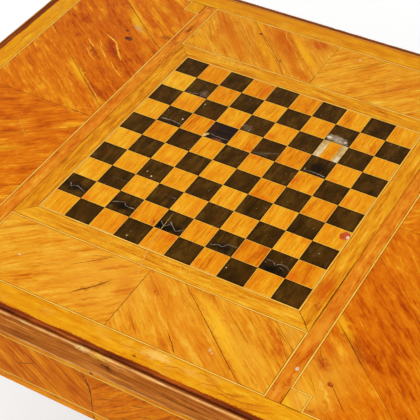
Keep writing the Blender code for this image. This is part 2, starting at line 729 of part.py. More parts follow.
def drawer(hand, turn):
    """A dovetailed drawer on its slide: the front laps the sides, and the bottom runs in grooves."""
    spot = Matrix.Rotation(turn, 3, "Z") @ Vector((DRAWER_MIDDLE, 0, FLOOR_TOP))
    slide = slide_empty(f"drawer_{hand}_slide", spot, turn)
    half = DRAWER_HALF
    face = -FRIEZE[1]
    name = f"drawer_{hand}"
    front_high = (half, face + DRAWER_FRONT, DRAWER_HEIGHT - DRAWER_CLEARANCE)
    front = board(f"{name}_front", (-half, face, SEAT_GAP), front_high, "tulipwood", carrier=slide)
    back_face = face + DRAWER_LENGTH
    back_low = (-half, back_face - DRAWER_BACK, PANEL_TOP + SEAT_GAP)
    back_high = (half, back_face, SIDE_BOTTOM + DRAWER_SIDE_HEIGHT)
    back = board(f"{name}_back", back_low, back_high, "carcase_oak", carrier=slide)
    panel_half = half - DRAWER_SIDE + DRAWER_GROOVE
    panel_low = (-panel_half, face + DRAWER_FRONT - DRAWER_GROOVE, PANEL_TOP - DRAWER_BOTTOM)
    panel_high = (panel_half, back_face, PANEL_TOP)
    board(f"{name}_bottom", panel_low, panel_high, "carcase_oak", carrier=slide)
    groove_low = [value - SEAT_GAP for value in panel_low]
    groove_high = (panel_half + SEAT_GAP, back_face + OVERRUN, PANEL_TOP + SEAT_GAP)
    groove = box_cutter(f"{name}_groove", groove_low, groove_high, carrier=slide)
    cut(front, groove)
    for label, way in (("left", -1), ("right", 1)):
        x = way * (half - DRAWER_SIDE / 2)
        mesh = outline_mesh(f"{name}_side_{label}", [drawer_side_outline()], DRAWER_SIDE)
        side = place(f"{name}_side_{label}", upright(mesh, x), "carcase_oak", carrier=slide)
        cut(side, groove)
        socket_x = way * (half - DRAWER_SIDE / 2 + OVERRUN / 2 - SEAT_GAP / 2)
        for number, middle in enumerate(tail_heights()):
            for joined, root, tip in ((front, SIDE_START, DOVETAIL_LAP), (back, SIDE_END, DRAWER_LENGTH)):
                socket_name = f"{joined.name}_socket_{label}_{number}"
                outline = tail(middle, root, tip, SEAT_GAP)
                socket = outline_mesh(socket_name, [outline], DRAWER_SIDE + OVERRUN + SEAT_GAP)
                cut(joined, cutter(socket_name, upright(socket, socket_x), carrier=slide))
    knob(name, front, slide)


def knob(name, front, slide):
    """A turned brass knob with a round plate, its shank driven into a hole in the drawer front."""
    ball = KNOB_PLATE_HEIGHT + KNOB_NECK_HEIGHT + KNOB_RADIUS
    start = -math.acos(KNOB_NECK_RADIUS / KNOB_RADIUS)
    profile = [(0, -KNOB_SHANK_LENGTH), (KNOB_SHANK_RADIUS, -KNOB_SHANK_LENGTH), (KNOB_SHANK_RADIUS, SEAT_GAP),
               (KNOB_PLATE_RADIUS, SEAT_GAP), (KNOB_PLATE_RADIUS, KNOB_PLATE_HEIGHT / 2)]
    profile += [(KNOB_NECK_RADIUS, KNOB_PLATE_HEIGHT)]
    for step in range(2 * ARC_STEPS + 1):
        angle = start + (math.pi / 2 - start) * step / (2 * ARC_STEPS)
        profile.append((max(0, KNOB_RADIUS * math.cos(angle)), ball + KNOB_RADIUS * math.sin(angle)))
    profile[-1] = (0, profile[-1][1])
    mesh = bpy.data.meshes.new(f"{name}_knob")
    points = [(radius, 0, height) for radius, height in reversed(profile)]
    mesh.from_pydata(points, [(i, i + 1) for i in range(len(points) - 1)], [])
    level = SEAT_GAP + (DRAWER_HEIGHT - DRAWER_CLEARANCE) / 2
    obj = place(f"{name}_knob", mesh, "brass", (0, -FRIEZE[1], level), carrier=slide)
    obj.rotation_euler.x = math.pi / 2
    screw = obj.modifiers.new("turning", "SCREW")
    screw.steps = screw.render_steps = TURNING_STEPS
    screw.use_merge_vertices = True
    screw.merge_threshold = MERGE
    hole_mesh = bpy.data.meshes.new(f"{name}_knob_hole")
    shape = bmesh.new()
    radius = (KNOB_SHANK_RADIUS + SEAT_GAP)
    depth = KNOB_SHANK_LENGTH + SEAT_GAP + OVERRUN
    bmesh.ops.create_cone(shape, cap_ends=True, segments=TURNING_STEPS, radius1=radius, radius2=radius, depth=depth)
    shape.to_mesh(hole_mesh)
    shape.free()
    middle_y = -FRIEZE[1] + KNOB_SHANK_LENGTH + SEAT_GAP - depth / 2
    hole = cutter(f"{name}_knob_hole", hole_mesh, (0, middle_y, level), carrier=slide)
    hole.rotation_euler.x = math.pi / 2
    cut(front, hole)


def drawer_openings(rails):
    """The holes in the long rails that the drawers slide through."""
    for side, turn in (("front", 0.0), ("back", math.pi)):
        low = (OPENING_NEAR, -FRIEZE[1] - OVERRUN, FLOOR_TOP)
        high = (OPENING_FAR, -RAIL_INSIDE[1] + OVERRUN, FLOOR_TOP + DRAWER_HEIGHT)
        cut(rails[side], box_cutter(f"drawer_opening_{side}", low, high, turn))


top_core()
top_lippings()
chequer_board()
board_surround()
field_panels()
border_band()
rim()
RAILS = rails_and_legs()
case_floor(RAILS)
well(RAILS)
decks(RAILS)
drawer_openings(RAILS)
drawer("right", 0.0)
drawer("left", math.pi)
bpy.context.view_layer.update()
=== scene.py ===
# The looks of a games table: its veneers, lines, wear and brass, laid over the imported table.
import json
import math
import random
from collections import namedtuple

import bmesh
import bpy
from mathutils import Matrix, Vector, noise

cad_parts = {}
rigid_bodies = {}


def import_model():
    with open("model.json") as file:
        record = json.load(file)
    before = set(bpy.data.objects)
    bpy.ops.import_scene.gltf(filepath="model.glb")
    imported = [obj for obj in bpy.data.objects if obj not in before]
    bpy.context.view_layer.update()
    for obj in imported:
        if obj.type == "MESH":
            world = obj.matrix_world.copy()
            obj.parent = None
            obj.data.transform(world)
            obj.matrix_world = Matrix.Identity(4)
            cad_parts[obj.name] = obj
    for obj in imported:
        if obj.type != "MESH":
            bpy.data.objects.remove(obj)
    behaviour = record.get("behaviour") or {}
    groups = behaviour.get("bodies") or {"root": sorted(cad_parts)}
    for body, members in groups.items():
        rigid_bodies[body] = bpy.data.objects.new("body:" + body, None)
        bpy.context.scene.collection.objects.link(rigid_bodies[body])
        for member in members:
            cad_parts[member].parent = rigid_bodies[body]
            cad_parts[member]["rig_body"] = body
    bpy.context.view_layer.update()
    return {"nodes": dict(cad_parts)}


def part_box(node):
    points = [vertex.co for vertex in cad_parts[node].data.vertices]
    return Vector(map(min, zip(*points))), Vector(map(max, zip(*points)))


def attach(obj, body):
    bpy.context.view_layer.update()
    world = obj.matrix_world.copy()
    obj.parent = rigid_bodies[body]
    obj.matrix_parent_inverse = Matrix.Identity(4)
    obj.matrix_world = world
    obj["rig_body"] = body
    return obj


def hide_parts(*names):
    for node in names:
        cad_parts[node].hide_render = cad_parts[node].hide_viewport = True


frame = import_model()

# The carcase: rails tenoned into the legs, a floor in their grooves and thin decks over the drawers.
# Plain quartered oak, planed and left bare inside, brown with age and rubbed paler along its arrises.
OAK_SHADES = [(0.0, (96, 62, 34)), (0.45, (146, 102, 60)), (1.0, (188, 146, 96))]
OAK_ARRIS = (198, 160, 112)
OAK_GLUE = (34, 20, 12)
OAK_SOFTENING = 0.0004
OAK_BOARD = 0.137
OAK_JOINT = 0.0012
BOARD_DIFFERENCE = 0.45
SAME_POINT = 0.000002
FLAT_FOLD = math.radians(0.5)
SHARP_FOLD = math.radians(30)
SMOOTH_FOLD = math.radians(35)
FINE_FIGURE = 0.26
FINE_GRAIN = (0.012, 0.0007)
BAND_DRAW = 6
STREAK_DRAW = 14
BLOTCH_SIZE = (0.024, 0.013)
FLECK_SIZE = (0.013, 0.0032)
PORE_SIZE = (0.004, 0.00028)
WORN_PATCH = (0.010, 0.004)
WORN_SPAN = 0.45
GLOSS_PATCH = (0.05, 0.02)
FLAME_NOISE = (11.0, 3.0, 0.5)
VARNISH_TINT = (1.0, 0.62, 0.25, 1.0)
MIDDLE = (0.5, 0.5, 0.5)


def seen(rgb):
    """A colour as it looks on a screen, 0 to 255, as the linear value that a shader takes."""
    return tuple((c / 255 / 12.92) if c < 11 else ((c / 255 + 0.055) / 1.055) ** 2.4 for c in rgb) + (1.0,)


def fed(tree, node, sockets):
    """The node with its sockets linked to other nodes or given a value."""
    for socket, value in sockets.items():
        if isinstance(value, bpy.types.NodeSocket):
            tree.links.new(value, node.inputs[socket])
        else:
            node.inputs[socket].default_value = value
    return node


def add(tree, kind, sockets=None, **settings):
    """A shader node of that kind, with its settings and its sockets."""
    made = tree.nodes.new("ShaderNode" + kind)
    for key, value in settings.items():
        setattr(made, key, value)
    return fed(tree, made, sockets or {})


def reckoned(tree, operation, *values, kind="Math"):
    """A sum done on one to three numbers, or on vectors."""
    return add(tree, kind, dict(enumerate(values)), operation=operation).outputs[0]


def place_of(tree):
    """Coordinates in metres on the table as a whole."""
    return add(tree, "TexCoord").outputs["Object"]


def grain_of(tree, along="leaf"):
    """Coordinates in metres whose first axis runs with the grain: a leaf's own, or an axis of the table."""
    if along == "leaf":
        return add(tree, "UVMap", uv_map="grain").outputs["UV"]
    place = place_of(tree)
    if along == "x":
        return place
    parts = add(tree, "SeparateXYZ", {0: place}).outputs
    order = {"y": "YZX", "z": "ZXY"}[along]
    return add(tree, "CombineXYZ", {index: parts[axis] for index, axis in enumerate(order)}).outputs[0]


def patches(tree, grain, length, width, detail=3.0, roughness=0.55):
    """Noise in patches about that long and that wide, drawn out along the grain."""
    drawn = reckoned(tree, "MULTIPLY", grain, (1 / length, 1 / width, 1 / width), kind="VectorMath")
    sockets = {"Vector": drawn, "Scale": 1.0, "Detail": detail, "Roughness": roughness}
    return add(tree, "TexNoise", sockets).outputs["Fac"]


def spread(tree, value, low=0.3, high=0.7, to_low=0.0, to_high=1.0):
    """A value's range stretched to another and held inside it; most noise lies from 0.3 to 0.7."""
    sockets = {"Value": value, "From Min": low, "From Max": high, "To Min": to_low, "To Max": to_high}
    return add(tree, "MapRange", sockets).outputs["Result"]


def sum_of(tree, first, second, share=1.0):
    """The first value plus a share of the second."""
    return reckoned(tree, "MULTIPLY_ADD", second, share, first)


def pushed(tree, place, scale, detail, roughness, reach):
    """Coordinates pushed about by noise, so that what follows them wanders."""
    sockets = {"Vector": place, "Scale": scale, "Detail": detail, "Roughness": roughness}
    cloud = add(tree, "TexNoise", sockets).outputs["Color"]
    off = reckoned(tree, "SUBTRACT", cloud, MIDDLE, kind="VectorMath")
    return reckoned(tree, "MULTIPLY_ADD", off, (reach, reach, reach), place, kind="VectorMath")


def blended(tree, amount, under, over):
    """One colour over another by an amount; each is a socket or a colour as seen."""
    mix = add(tree, "Mix", {"Factor": amount}, data_type="RGBA")
    for name, paint in (("A", under), ("B", over)):
        index = [i for i, s in enumerate(mix.inputs) if s.name == name and s.type == "RGBA"][0]
        fed(tree, mix, {index: paint if isinstance(paint, bpy.types.NodeSocket) else seen(paint)})
    return [s for s in mix.outputs if s.type == "RGBA"][0]


def stepped(tree, value, shades):
    """A colour that runs through the shades, from the deepest to the palest."""
    ramp = add(tree, "ValToRGB", {"Fac": value})
    stops = ramp.color_ramp.elements
    while len(stops) < len(shades):
        stops.new(0.5)
    for stop, (position, rgb) in zip(stops, shades):
        stop.position = position
        stop.color = seen(rgb)
    return ramp.outputs["Color"]


def bumped(tree, height, distance, strength):
    """The normal of a surface with that fine relief."""
    sockets = {"Height": height, "Distance": distance, "Strength": strength}
    return add(tree, "Bump", sockets).outputs["Normal"]


def started(name):
    """A new finish, with its node tree and its shader."""
    material = bpy.data.materials.new(name)
    material.use_nodes = True
    return material, material.node_tree, material.node_tree.nodes["Principled BSDF"]


def coat_of(material):
    """The node tree of a finish and the colour that its shader takes so far."""
    tree = material.node_tree
    return tree, tree.nodes["Principled BSDF"].inputs["Base Color"].links[0].from_socket


def coated(material, paint):
    """The finish with a new colour on its shader."""
    fed(material.node_tree, material.node_tree.nodes["Principled BSDF"], {"Base Color": paint})
    return material


def wood(name, shades, along="leaf", band=0.022, streak=0.0030, bands=0.35, streaks=0.40, blotch=0.35,
         fleck=0.5, pore=0.35, gloss=(0.26, 0.42), edge=(70, 30, 8), edge_strength=0.8, relief=0.00005,
         specular=0.05, flame=0.006, worn_low=0.15):
    """Finished wood: bands and streaks that wander along the grain, blotches, flecks, pores, worn edges."""
    material, tree, shader = started(name)
    straight = grain_of(tree, along)
    grain = pushed(tree, straight, *FLAME_NOISE, flame)
    banding = spread(tree, patches(tree, grain, band * BAND_DRAW, band))
    streaking = spread(tree, patches(tree, grain, streak * STREAK_DRAW, streak, 4.0, 0.7), 0.36, 0.64)
    fine = spread(tree, patches(tree, grain, *FINE_GRAIN, 2.0))
    blotches = spread(tree, patches(tree, straight, *BLOTCH_SIZE, 5.0, 0.65), 0.32, 0.68)
    tone = add(tree, "Attribute", attribute_name="tone").outputs["Fac"]
    figure = 0.5 - (bands + streaks + blotch + FINE_FIGURE) / 2
    parts = ((banding, bands), (streaking, streaks), (blotches, blotch), (fine, FINE_FIGURE), (tone, 1.0))
    for part, share in parts:
        figure = sum_of(tree, figure, part, share)
    deepest = shades[0][1]
    flecks = spread(tree, patches(tree, grain, *FLECK_SIZE, 3.0, 0.6), 0.60, 0.72, 0.0, fleck)
    pores = spread(tree, patches(tree, grain, *PORE_SIZE, 2.0, 0.5), 0.60, 0.72, 0.0, pore)
    paint = blended(tree, flecks, stepped(tree, figure, shades), deepest)
    paint = blended(tree, pores, paint, [channel / 2 for channel in deepest])
    rubbed = add(tree, "Attribute", attribute_name="edge").outputs["Fac"]
    rough = spread(tree, patches(tree, straight, *WORN_PATCH, 4.0), to_low=-0.45, to_high=0.15)
    wear = sum_of(tree, rubbed, rubbed, rough)
    worn = spread(tree, wear, worn_low, worn_low + WORN_SPAN, 0.0, edge_strength)
    fed(tree, shader, {
        "Base Color": blended(tree, worn, paint, edge),
        "Roughness": spread(tree, patches(tree, straight, *GLOSS_PATCH, 3.0), 0.3, 0.7, *gloss),
        "Specular IOR Level": specular,
        "Specular Tint": VARNISH_TINT,
        "Normal": bumped(tree, sum_of(tree, streaking, pores, -1.0), relief, 0.6),
    })
    return material


def boarded(material):
    """Joints between the boards that a wide panel is glued up from, each board lighter or darker."""
    tree, paint = coat_of(material)
    across = add(tree, "SeparateXYZ", {0: place_of(tree)}).outputs["Y"]
    board = reckoned(tree, "DIVIDE", across, OAK_BOARD)
    number = reckoned(tree, "FLOOR", board)
    chance = add(tree, "TexWhiteNoise", {"W": number}, noise_dimensions="1D").outputs["Value"]
    paint = blended(tree, spread(tree, chance, 0.0, 1.0, 0.0, BOARD_DIFFERENCE), paint, OAK_SHADES[0][1])
    joint = spread(tree, reckoned(tree, "FRACT", board), 0.0, OAK_JOINT / OAK_BOARD, 0.9, 0.0)
    return coated(material, blended(tree, joint, paint, OAK_GLUE))


def linked(name, data):
    """A mesh, a lamp or a camera as an object of the scene."""
    made = bpy.data.objects.new(name, data)
    bpy.context.scene.collection.objects.link(made)
    return made


def built(name, shape, material, fold=None):
    """A finished shape as an object in one material, smooth except where it folds past an angle."""
    mesh = bpy.data.meshes.new(name)
    shape.to_mesh(mesh)
    shape.free()
    mesh.materials.append(material)
    if fold:
        mesh.shade_smooth()
        mesh.set_sharp_from_angle(angle=fold)
    return linked(name, mesh)


def fitted(piece, body, replaced=()):
    """The piece riding on its body, in place of the nodes that it stands for."""
    if replaced:
        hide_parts(*replaced)
    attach(piece, body)


def softened(node, width, material):
    """A copy of a solid in place of its node, with its sharp edges eased and marked as edges."""
    source = frame["nodes"][node]
    shape = bmesh.new()
    shape.from_mesh(source.data)
    bmesh.ops.remove_doubles(shape, verts=shape.verts, dist=SAME_POINT)
    bmesh.ops.dissolve_limit(shape, angle_limit=FLAT_FOLD, verts=shape.verts, edges=shape.edges)
    mark = shape.loops.layers.float.new("edge")
    sharp = [e for e in shape.edges if len(e.link_faces) == 2 and e.calc_face_angle() > SHARP_FOLD]
    eased = bmesh.ops.bevel(
        shape, geom=sharp, offset=width, offset_type="OFFSET", segments=2, profile=0.5, affect="EDGES",
        clamp_overlap=True,
    )
    for face in eased["faces"]:
        for loop in face.loops:
            loop[mark] = 1.0
    fitted(built(node + "_finish", shape, material, SMOOTH_FOLD), source["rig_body"], [node])


oak = {}
for way in "xy":
    oak[way] = wood(f"oak_{way}", OAK_SHADES, way, band=0.016, pore=0.7, gloss=(0.5, 0.75), edge=OAK_ARRIS,
                    relief=0.00012)
for name, way in (("front", "x"), ("back", "x"), ("left", "y"), ("right", "y")):
    softened(f"rail_{name}", OAK_SOFTENING, oak[way])
    if way == "y":
        softened(f"deck_{name}", OAK_SOFTENING, oak[way])
oak_boards = boarded(wood("oak_boards", OAK_SHADES, "x", band=0.016, pore=0.8, gloss=(0.6, 0.8),
                          edge=OAK_ARRIS, relief=0.0002))
softened("case_floor", OAK_SOFTENING, oak_boards)

# The well: two ends and a bar housed in the long rails, faced with kingwood that has gone brown and dull.
# They are glued in before the floor, and their upper edges carry the loose top.
KINGWOOD_SHADES = [(0.0, (36, 16, 10)), (0.5, (78, 36, 20)), (1.0, (120, 62, 32))]
KINGWOOD_ARRIS = (150, 96, 56)
kingwood = wood("kingwood", KINGWOOD_SHADES, "y", band=0.010, bands=0.60, gloss=(0.3, 0.5),
                edge=KINGWOOD_ARRIS)
for name in ("well_bar", "well_end_left", "well_end_right"):
    softened(name, OAK_SOFTENING, kingwood)

# The backgammon points: long tapers of pale holly and of red-stained pear by turns, let into a dark ground.
# Knife-cut veneer, glued to the floor of the well inside a border of the same kingwood.
POINTS = 6
POINT_BORDER = 0.012
POINT_REACH = 0.235
POINT_TIP = 0.002
JOINT = 0.0002
UPRIGHT = math.pi / 2
VENEER_EDGE = 0.0007
FLITCH = 5
POINT_FLITCH = 4
POINT_TONE = 0.15
HOLLY_SHADES = [(0.0, (176, 146, 96)), (0.5, (210, 184, 134)), (1.0, (232, 212, 168))]
PEAR_SHADES = [(0.0, (96, 22, 12)), (0.5, (138, 40, 20)), (1.0, (170, 66, 34))]
HANDS = ("left", "right")
Leaf = namedtuple("Leaf", "outline grain tone cut flip", defaults=(0.0, 0.0, (0.0, 0.0), 1))


def neighbours(points):
    """Each corner of a closed outline with the one that follows it."""
    return list(zip(points, points[1:] + points[:1]))


def turned_round(outline):
    """The outline with its corners in anticlockwise order."""
    area = sum(a[0] * b[1] - b[0] * a[1] for a, b in neighbours(outline))
    return list(outline) if area > 0 else list(outline)[::-1]


def found(pick, reach=FLITCH):
    """Where in the flitch a leaf is cut."""
    return (pick.uniform(0, reach), pick.uniform(0, reach))


def lay(name, leaves, thickness, place, material, body, edge_width=VENEER_EDGE, replaced=()):
    """Leaves of veneer as one piece, each a closed slab with its face on a plane whose z is outward."""
    shape = bmesh.new()
    edge = shape.verts.layers.float.new("edge")
    tone = shape.faces.layers.float.new("tone")
    grain = shape.loops.layers.uv.new("grain")
    for leaf in leaves:
        outline = turned_round(leaf.outline)
        upper = [shape.verts.new((x, y, 0)) for x, y in outline]
        lower = [shape.verts.new((x, y, -thickness)) for x, y in outline]
        show = shape.faces.new(upper)
        faces = [show, shape.faces.new(lower[::-1])]
        for (a, b), (c, d) in zip(neighbours(upper), neighbours(lower)):
            faces.append(shape.faces.new((b, a, c, d)))
        for vert in upper + lower:
            vert[edge] = 1.0
        if edge_width:
            show.normal_update()
            faces += bmesh.ops.inset_individual(shape, faces=[show], thickness=edge_width)["faces"]
            for vert in show.verts:
                vert[edge] = 0.0
        cos, sin = math.cos(leaf.grain), math.sin(leaf.grain)
        for face in faces:
            face[tone] = leaf.tone
            for loop in face.loops:
                x, y, _ = loop.vert.co
                along = x * cos + y * sin + leaf.cut[0]
                across = (y * cos - x * sin) * leaf.flip + leaf.cut[1]
                loop[grain].uv = (along, across)
    shape.transform(place)
    bmesh.ops.recalc_face_normals(shape, faces=shape.faces)
    fitted(built(name, shape, material), body, replaced)


def level(height):
    """The plane of a veneer that lies flat with its face at a height."""
    return Matrix.Translation((0, 0, height))


def box_outline(low_x, high_x, low_y, high_y):
    """A rectangle, anticlockwise from its lower left corner."""
    return [(low_x, low_y), (high_x, low_y), (high_x, high_y), (low_x, high_y)]


ground_wood = wood("point_ground", KINGWOOD_SHADES, band=0.010, gloss=(0.35, 0.55))
point_woods = {
    "holly": wood("holly", HOLLY_SHADES, gloss=(0.35, 0.55), bands=0.30),
    "pear": wood("stained_pear", PEAR_SHADES, gloss=(0.35, 0.55), bands=0.40),
}
for side in HANDS:
    low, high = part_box(f"points_{side}")
    pick = random.Random(f"points {side}")
    ground = (low.z + high.z) / 2
    half = (low.x + high.x) / 2
    boards = [
        box_outline(low.x, half - JOINT, low.y, high.y),
        box_outline(half + JOINT, high.x, low.y, high.y),
    ]
    leaves = [Leaf(outline, UPRIGHT, 0.0, found(pick, POINT_FLITCH)) for outline in boards]
    lay(f"well_ground_{side}", leaves, ground - low.z, level(ground), ground_wood, "case",
        replaced=[f"points_{side}"])
    width = (high.x - low.x) / POINTS
    cut = {"holly": [], "pear": []}
    for row in (-1, 1):
        foot = row * (high.y - POINT_BORDER)
        tip = foot - row * POINT_REACH
        for index in range(POINTS):
            middle = low.x + (index + 0.5) * width
            outline = [
                (middle - width / 2 + JOINT, foot), (middle + width / 2 - JOINT, foot),
                (middle + POINT_TIP / 2, tip), (middle - POINT_TIP / 2, tip),
            ]
            kind = "holly" if (index + (row > 0)) % 2 else "pear"
            place = found(pick, POINT_FLITCH)
            tone = pick.uniform(-POINT_TONE, POINT_TONE)
            cut[kind].append(Leaf(outline, UPRIGHT, tone, place))
    for kind, leaves in cut.items():
        lay(f"points_{side}_{kind}", leaves, high.z - ground - JOINT, level(high.z), point_woods[kind],
            "case")

# The legs: square blocks mortised for the rails, a sunk neck, a collar and a long straight taper.
# Solid wood faced with tulipwood whose grain runs down the leg, every arris rubbed to a pale line.
TULIP_SHADES = [(0.0, (150, 56, 4)), (0.3, (196, 90, 8)), (0.65, (218, 116, 12)), (1.0, (240, 156, 34))]
TULIP_ARRIS = (236, 176, 84)
LEG_SOFTENING = 0.0008
LINE_SHADES = [(0.0, (232, 160, 44)), (0.5, (252, 200, 76)), (1.0, (255, 228, 122))]
LINE_WIDTH = 0.0014
LINE_RELIEF = 0.00025
LINE_MARGIN = 0.0045
LINE_STEP = (0.7, 0.3)
ENDS = ("front", "back")
CORNERS = [f"{end}_{hand}" for end in ENDS for hand in HANDS]
tulip_upright = wood("tulipwood_upright", TULIP_SHADES, "z", edge=TULIP_ARRIS, edge_strength=0.7)
boxwood = wood("boxwood_line", LINE_SHADES, band=0.006, fleck=0.2, edge_strength=0.0)
for corner in CORNERS:
    softened(f"leg_{corner}", LEG_SOFTENING, tulip_upright)


def mitres(outer, inner, step, quarter_turns=False):
    """Lengths mitred round between two outlines; the grain follows the outer one, or just its axis."""
    lengths = []
    for index, ((a, b), (c, d)) in enumerate(zip(neighbours(outer), neighbours(inner))):
        run = Vector(b) - Vector(a)
        grain = index % 2 * UPRIGHT if quarter_turns else math.atan2(run.y, run.x)
        lengths.append(Leaf([a, b, d, c], grain, 0.0, (index * step[0], index * step[1])))
    return lengths


def line_frame(low_x, high_x, low_y, high_y, width, foot_shift=0.0):
    """Four lengths of line mitred into a frame, its lower corners further in by the shift of the foot."""
    outer = [(low_x + foot_shift, low_y), (high_x - foot_shift, low_y), (high_x, high_y), (low_x, high_y)]
    steps = box_outline(width, -width, width, -width)
    return mitres(outer, [(x + dx, y + dy) for (x, y), (dx, dy) in zip(outer, steps)], LINE_STEP)


def facing(outward, point):
    """The plane of an upright face: x to the right as it is looked at, y up the face, z out of it."""
    out = Vector(outward).normalized()
    right = Vector((0, 0, 1)).cross(out).normalized()
    turn = Matrix((right, out.cross(right), out)).transposed().to_4x4()
    return Matrix.Translation(point) @ turn


COLLAR_BOTTOM = 0.600
SHOE_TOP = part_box("shoe_front_left")[1].z
TAPER_TOP_HALF = 0.0195
TAPER_FOOT_HALF = 0.0125
TAPER_FOOT = 0.0043
TAPER = (TAPER_TOP_HALF - TAPER_FOOT_HALF) / (COLLAR_BOTTOM - TAPER_FOOT)
shoe_half = TAPER_FOOT_HALF + TAPER * (SHOE_TOP - TAPER_FOOT)
taper_length = (COLLAR_BOTTOM - SHOE_TOP) / math.cos(math.atan(TAPER))
line_top = TAPER_TOP_HALF - LINE_MARGIN
leg_line = line_frame(-line_top, line_top, LINE_MARGIN, taper_length - LINE_MARGIN, LINE_WIDTH,
                      TAPER_TOP_HALF - shoe_half)
for corner in CORNERS:
    low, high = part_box(f"leg_{corner}")
    foot = Vector(((low.x + high.x) / 2, (low.y + high.y) / 2, SHOE_TOP))
    for index in range(4):
        out = Vector((math.cos(index * UPRIGHT), math.sin(index * UPRIGHT), 0))
        plane = facing(out - Vector((0, 0, TAPER)), foot + out * (shoe_half + LINE_RELIEF))
        lay(f"leg_line_{corner}_{index}", leg_line, LINE_RELIEF, plane, boxwood, "case", 0.0)

# The shoes: square brass cups cast with a small foot, into which each leg is driven and pinned.
# Lacquer long gone, bright where hands and brooms rub them and brown in the corners.
BRASS_SHADES = [(0.0, (84, 54, 20)), (0.4, (150, 108, 42)), (1.0, (214, 172, 86))]
BRASS_SOFTENING = 0.0005
TARNISH_SIZE = (0.012, 0.012)
RUBBING_SIZE = (0.02, 0.0004)
brass, tree, shader = started("old_brass")
place = place_of(tree)
tarnish = spread(tree, patches(tree, place, *TARNISH_SIZE, 5.0, 0.6), 0.25, 0.7)
edge = add(tree, "Attribute", attribute_name="edge").outputs["Fac"]
rubbing = patches(tree, place, *RUBBING_SIZE, 4.0)
fed(tree, shader, {
    "Base Color": stepped(tree, sum_of(tree, tarnish, edge, 0.5), BRASS_SHADES),
    "Metallic": 1.0,
    "Roughness": spread(tree, sum_of(tree, tarnish, rubbing, 0.4), 0.3, 1.1, 0.22, 0.48),
    "Normal": bumped(tree, rubbing, 0.00004, 0.5),
})
for corner in CORNERS:
    softened(f"shoe_{corner}", BRASS_SOFTENING, brass)

# The frieze: quarter-matched tulipwood laid over rails and leg blocks, with its grain in a V at each middle.
# Boxwood lines part it from orange bands above and below, and it frames the drawer fronts.
FRIEZE_SHADES = [(0.0, (166, 66, 2)), (0.3, (214, 104, 4)), (0.65, (234, 132, 8)), (1.0, (252, 170, 30))]
FRIEZE_BAND_SHADES = [(0.0, (178, 84, 4)), (0.5, (240, 138, 12)), (1.0, (254, 172, 36))]
FRIEZE_VENEER = 0.0005
FRIEZE_V = math.radians(42)
FRIEZE_EASE = 0.0003
MIDDLE_CUT = (2.3, 0.9)
UPPER_LINE = 0.6961
LOWER_LINE = 0.6305
OPENING_EASE = 0.0008
FRIEZE_TONE = 0.06
BAND_TONE = 0.1
LONG_LINE_SHIFT = 9
OUTWARD = {"front": (0, -1, 0), "right": (1, 0, 0), "back": (0, 1, 0), "left": (-1, 0, 0)}
frieze_wood = wood("frieze_tulipwood", FRIEZE_SHADES, band=0.012, streak=0.0034, bands=0.45, streaks=0.50,
                   specular=0.02)
frieze_band_wood = wood("frieze_band", FRIEZE_BAND_SHADES, band=0.010, specular=0.02)


def sawn(outline, cuts):
    """The pieces of an outline sawn along straight lines, each given by a point and the way it runs."""
    shape = bmesh.new()
    shape.faces.new([shape.verts.new((x, y, 0)) for x, y in turned_round(outline)])
    for (x, y), angle in cuts:
        everything = shape.verts[:] + shape.edges[:] + shape.faces[:]
        across = (-math.sin(angle), math.cos(angle), 0)
        bmesh.ops.bisect_plane(shape, geom=everything, dist=SAME_POINT / 2, plane_co=(x, y, 0),
                               plane_no=across)
    pieces = [[(vert.co.x, vert.co.y) for vert in face.verts] for face in shape.faces]
    shape.free()
    return pieces


def middle_of(outline):
    """The mean of an outline's corners."""
    return sum((Vector(point) for point in outline), Vector((0, 0))) / len(outline)


def front_plane(side, lift=0.0):
    """The plane of the frieze's face on a side of the table, or a little in front of it."""
    return facing(OUTWARD[side], Vector(OUTWARD[side]) * (frieze_half[side][1] + FRIEZE_VENEER + lift))


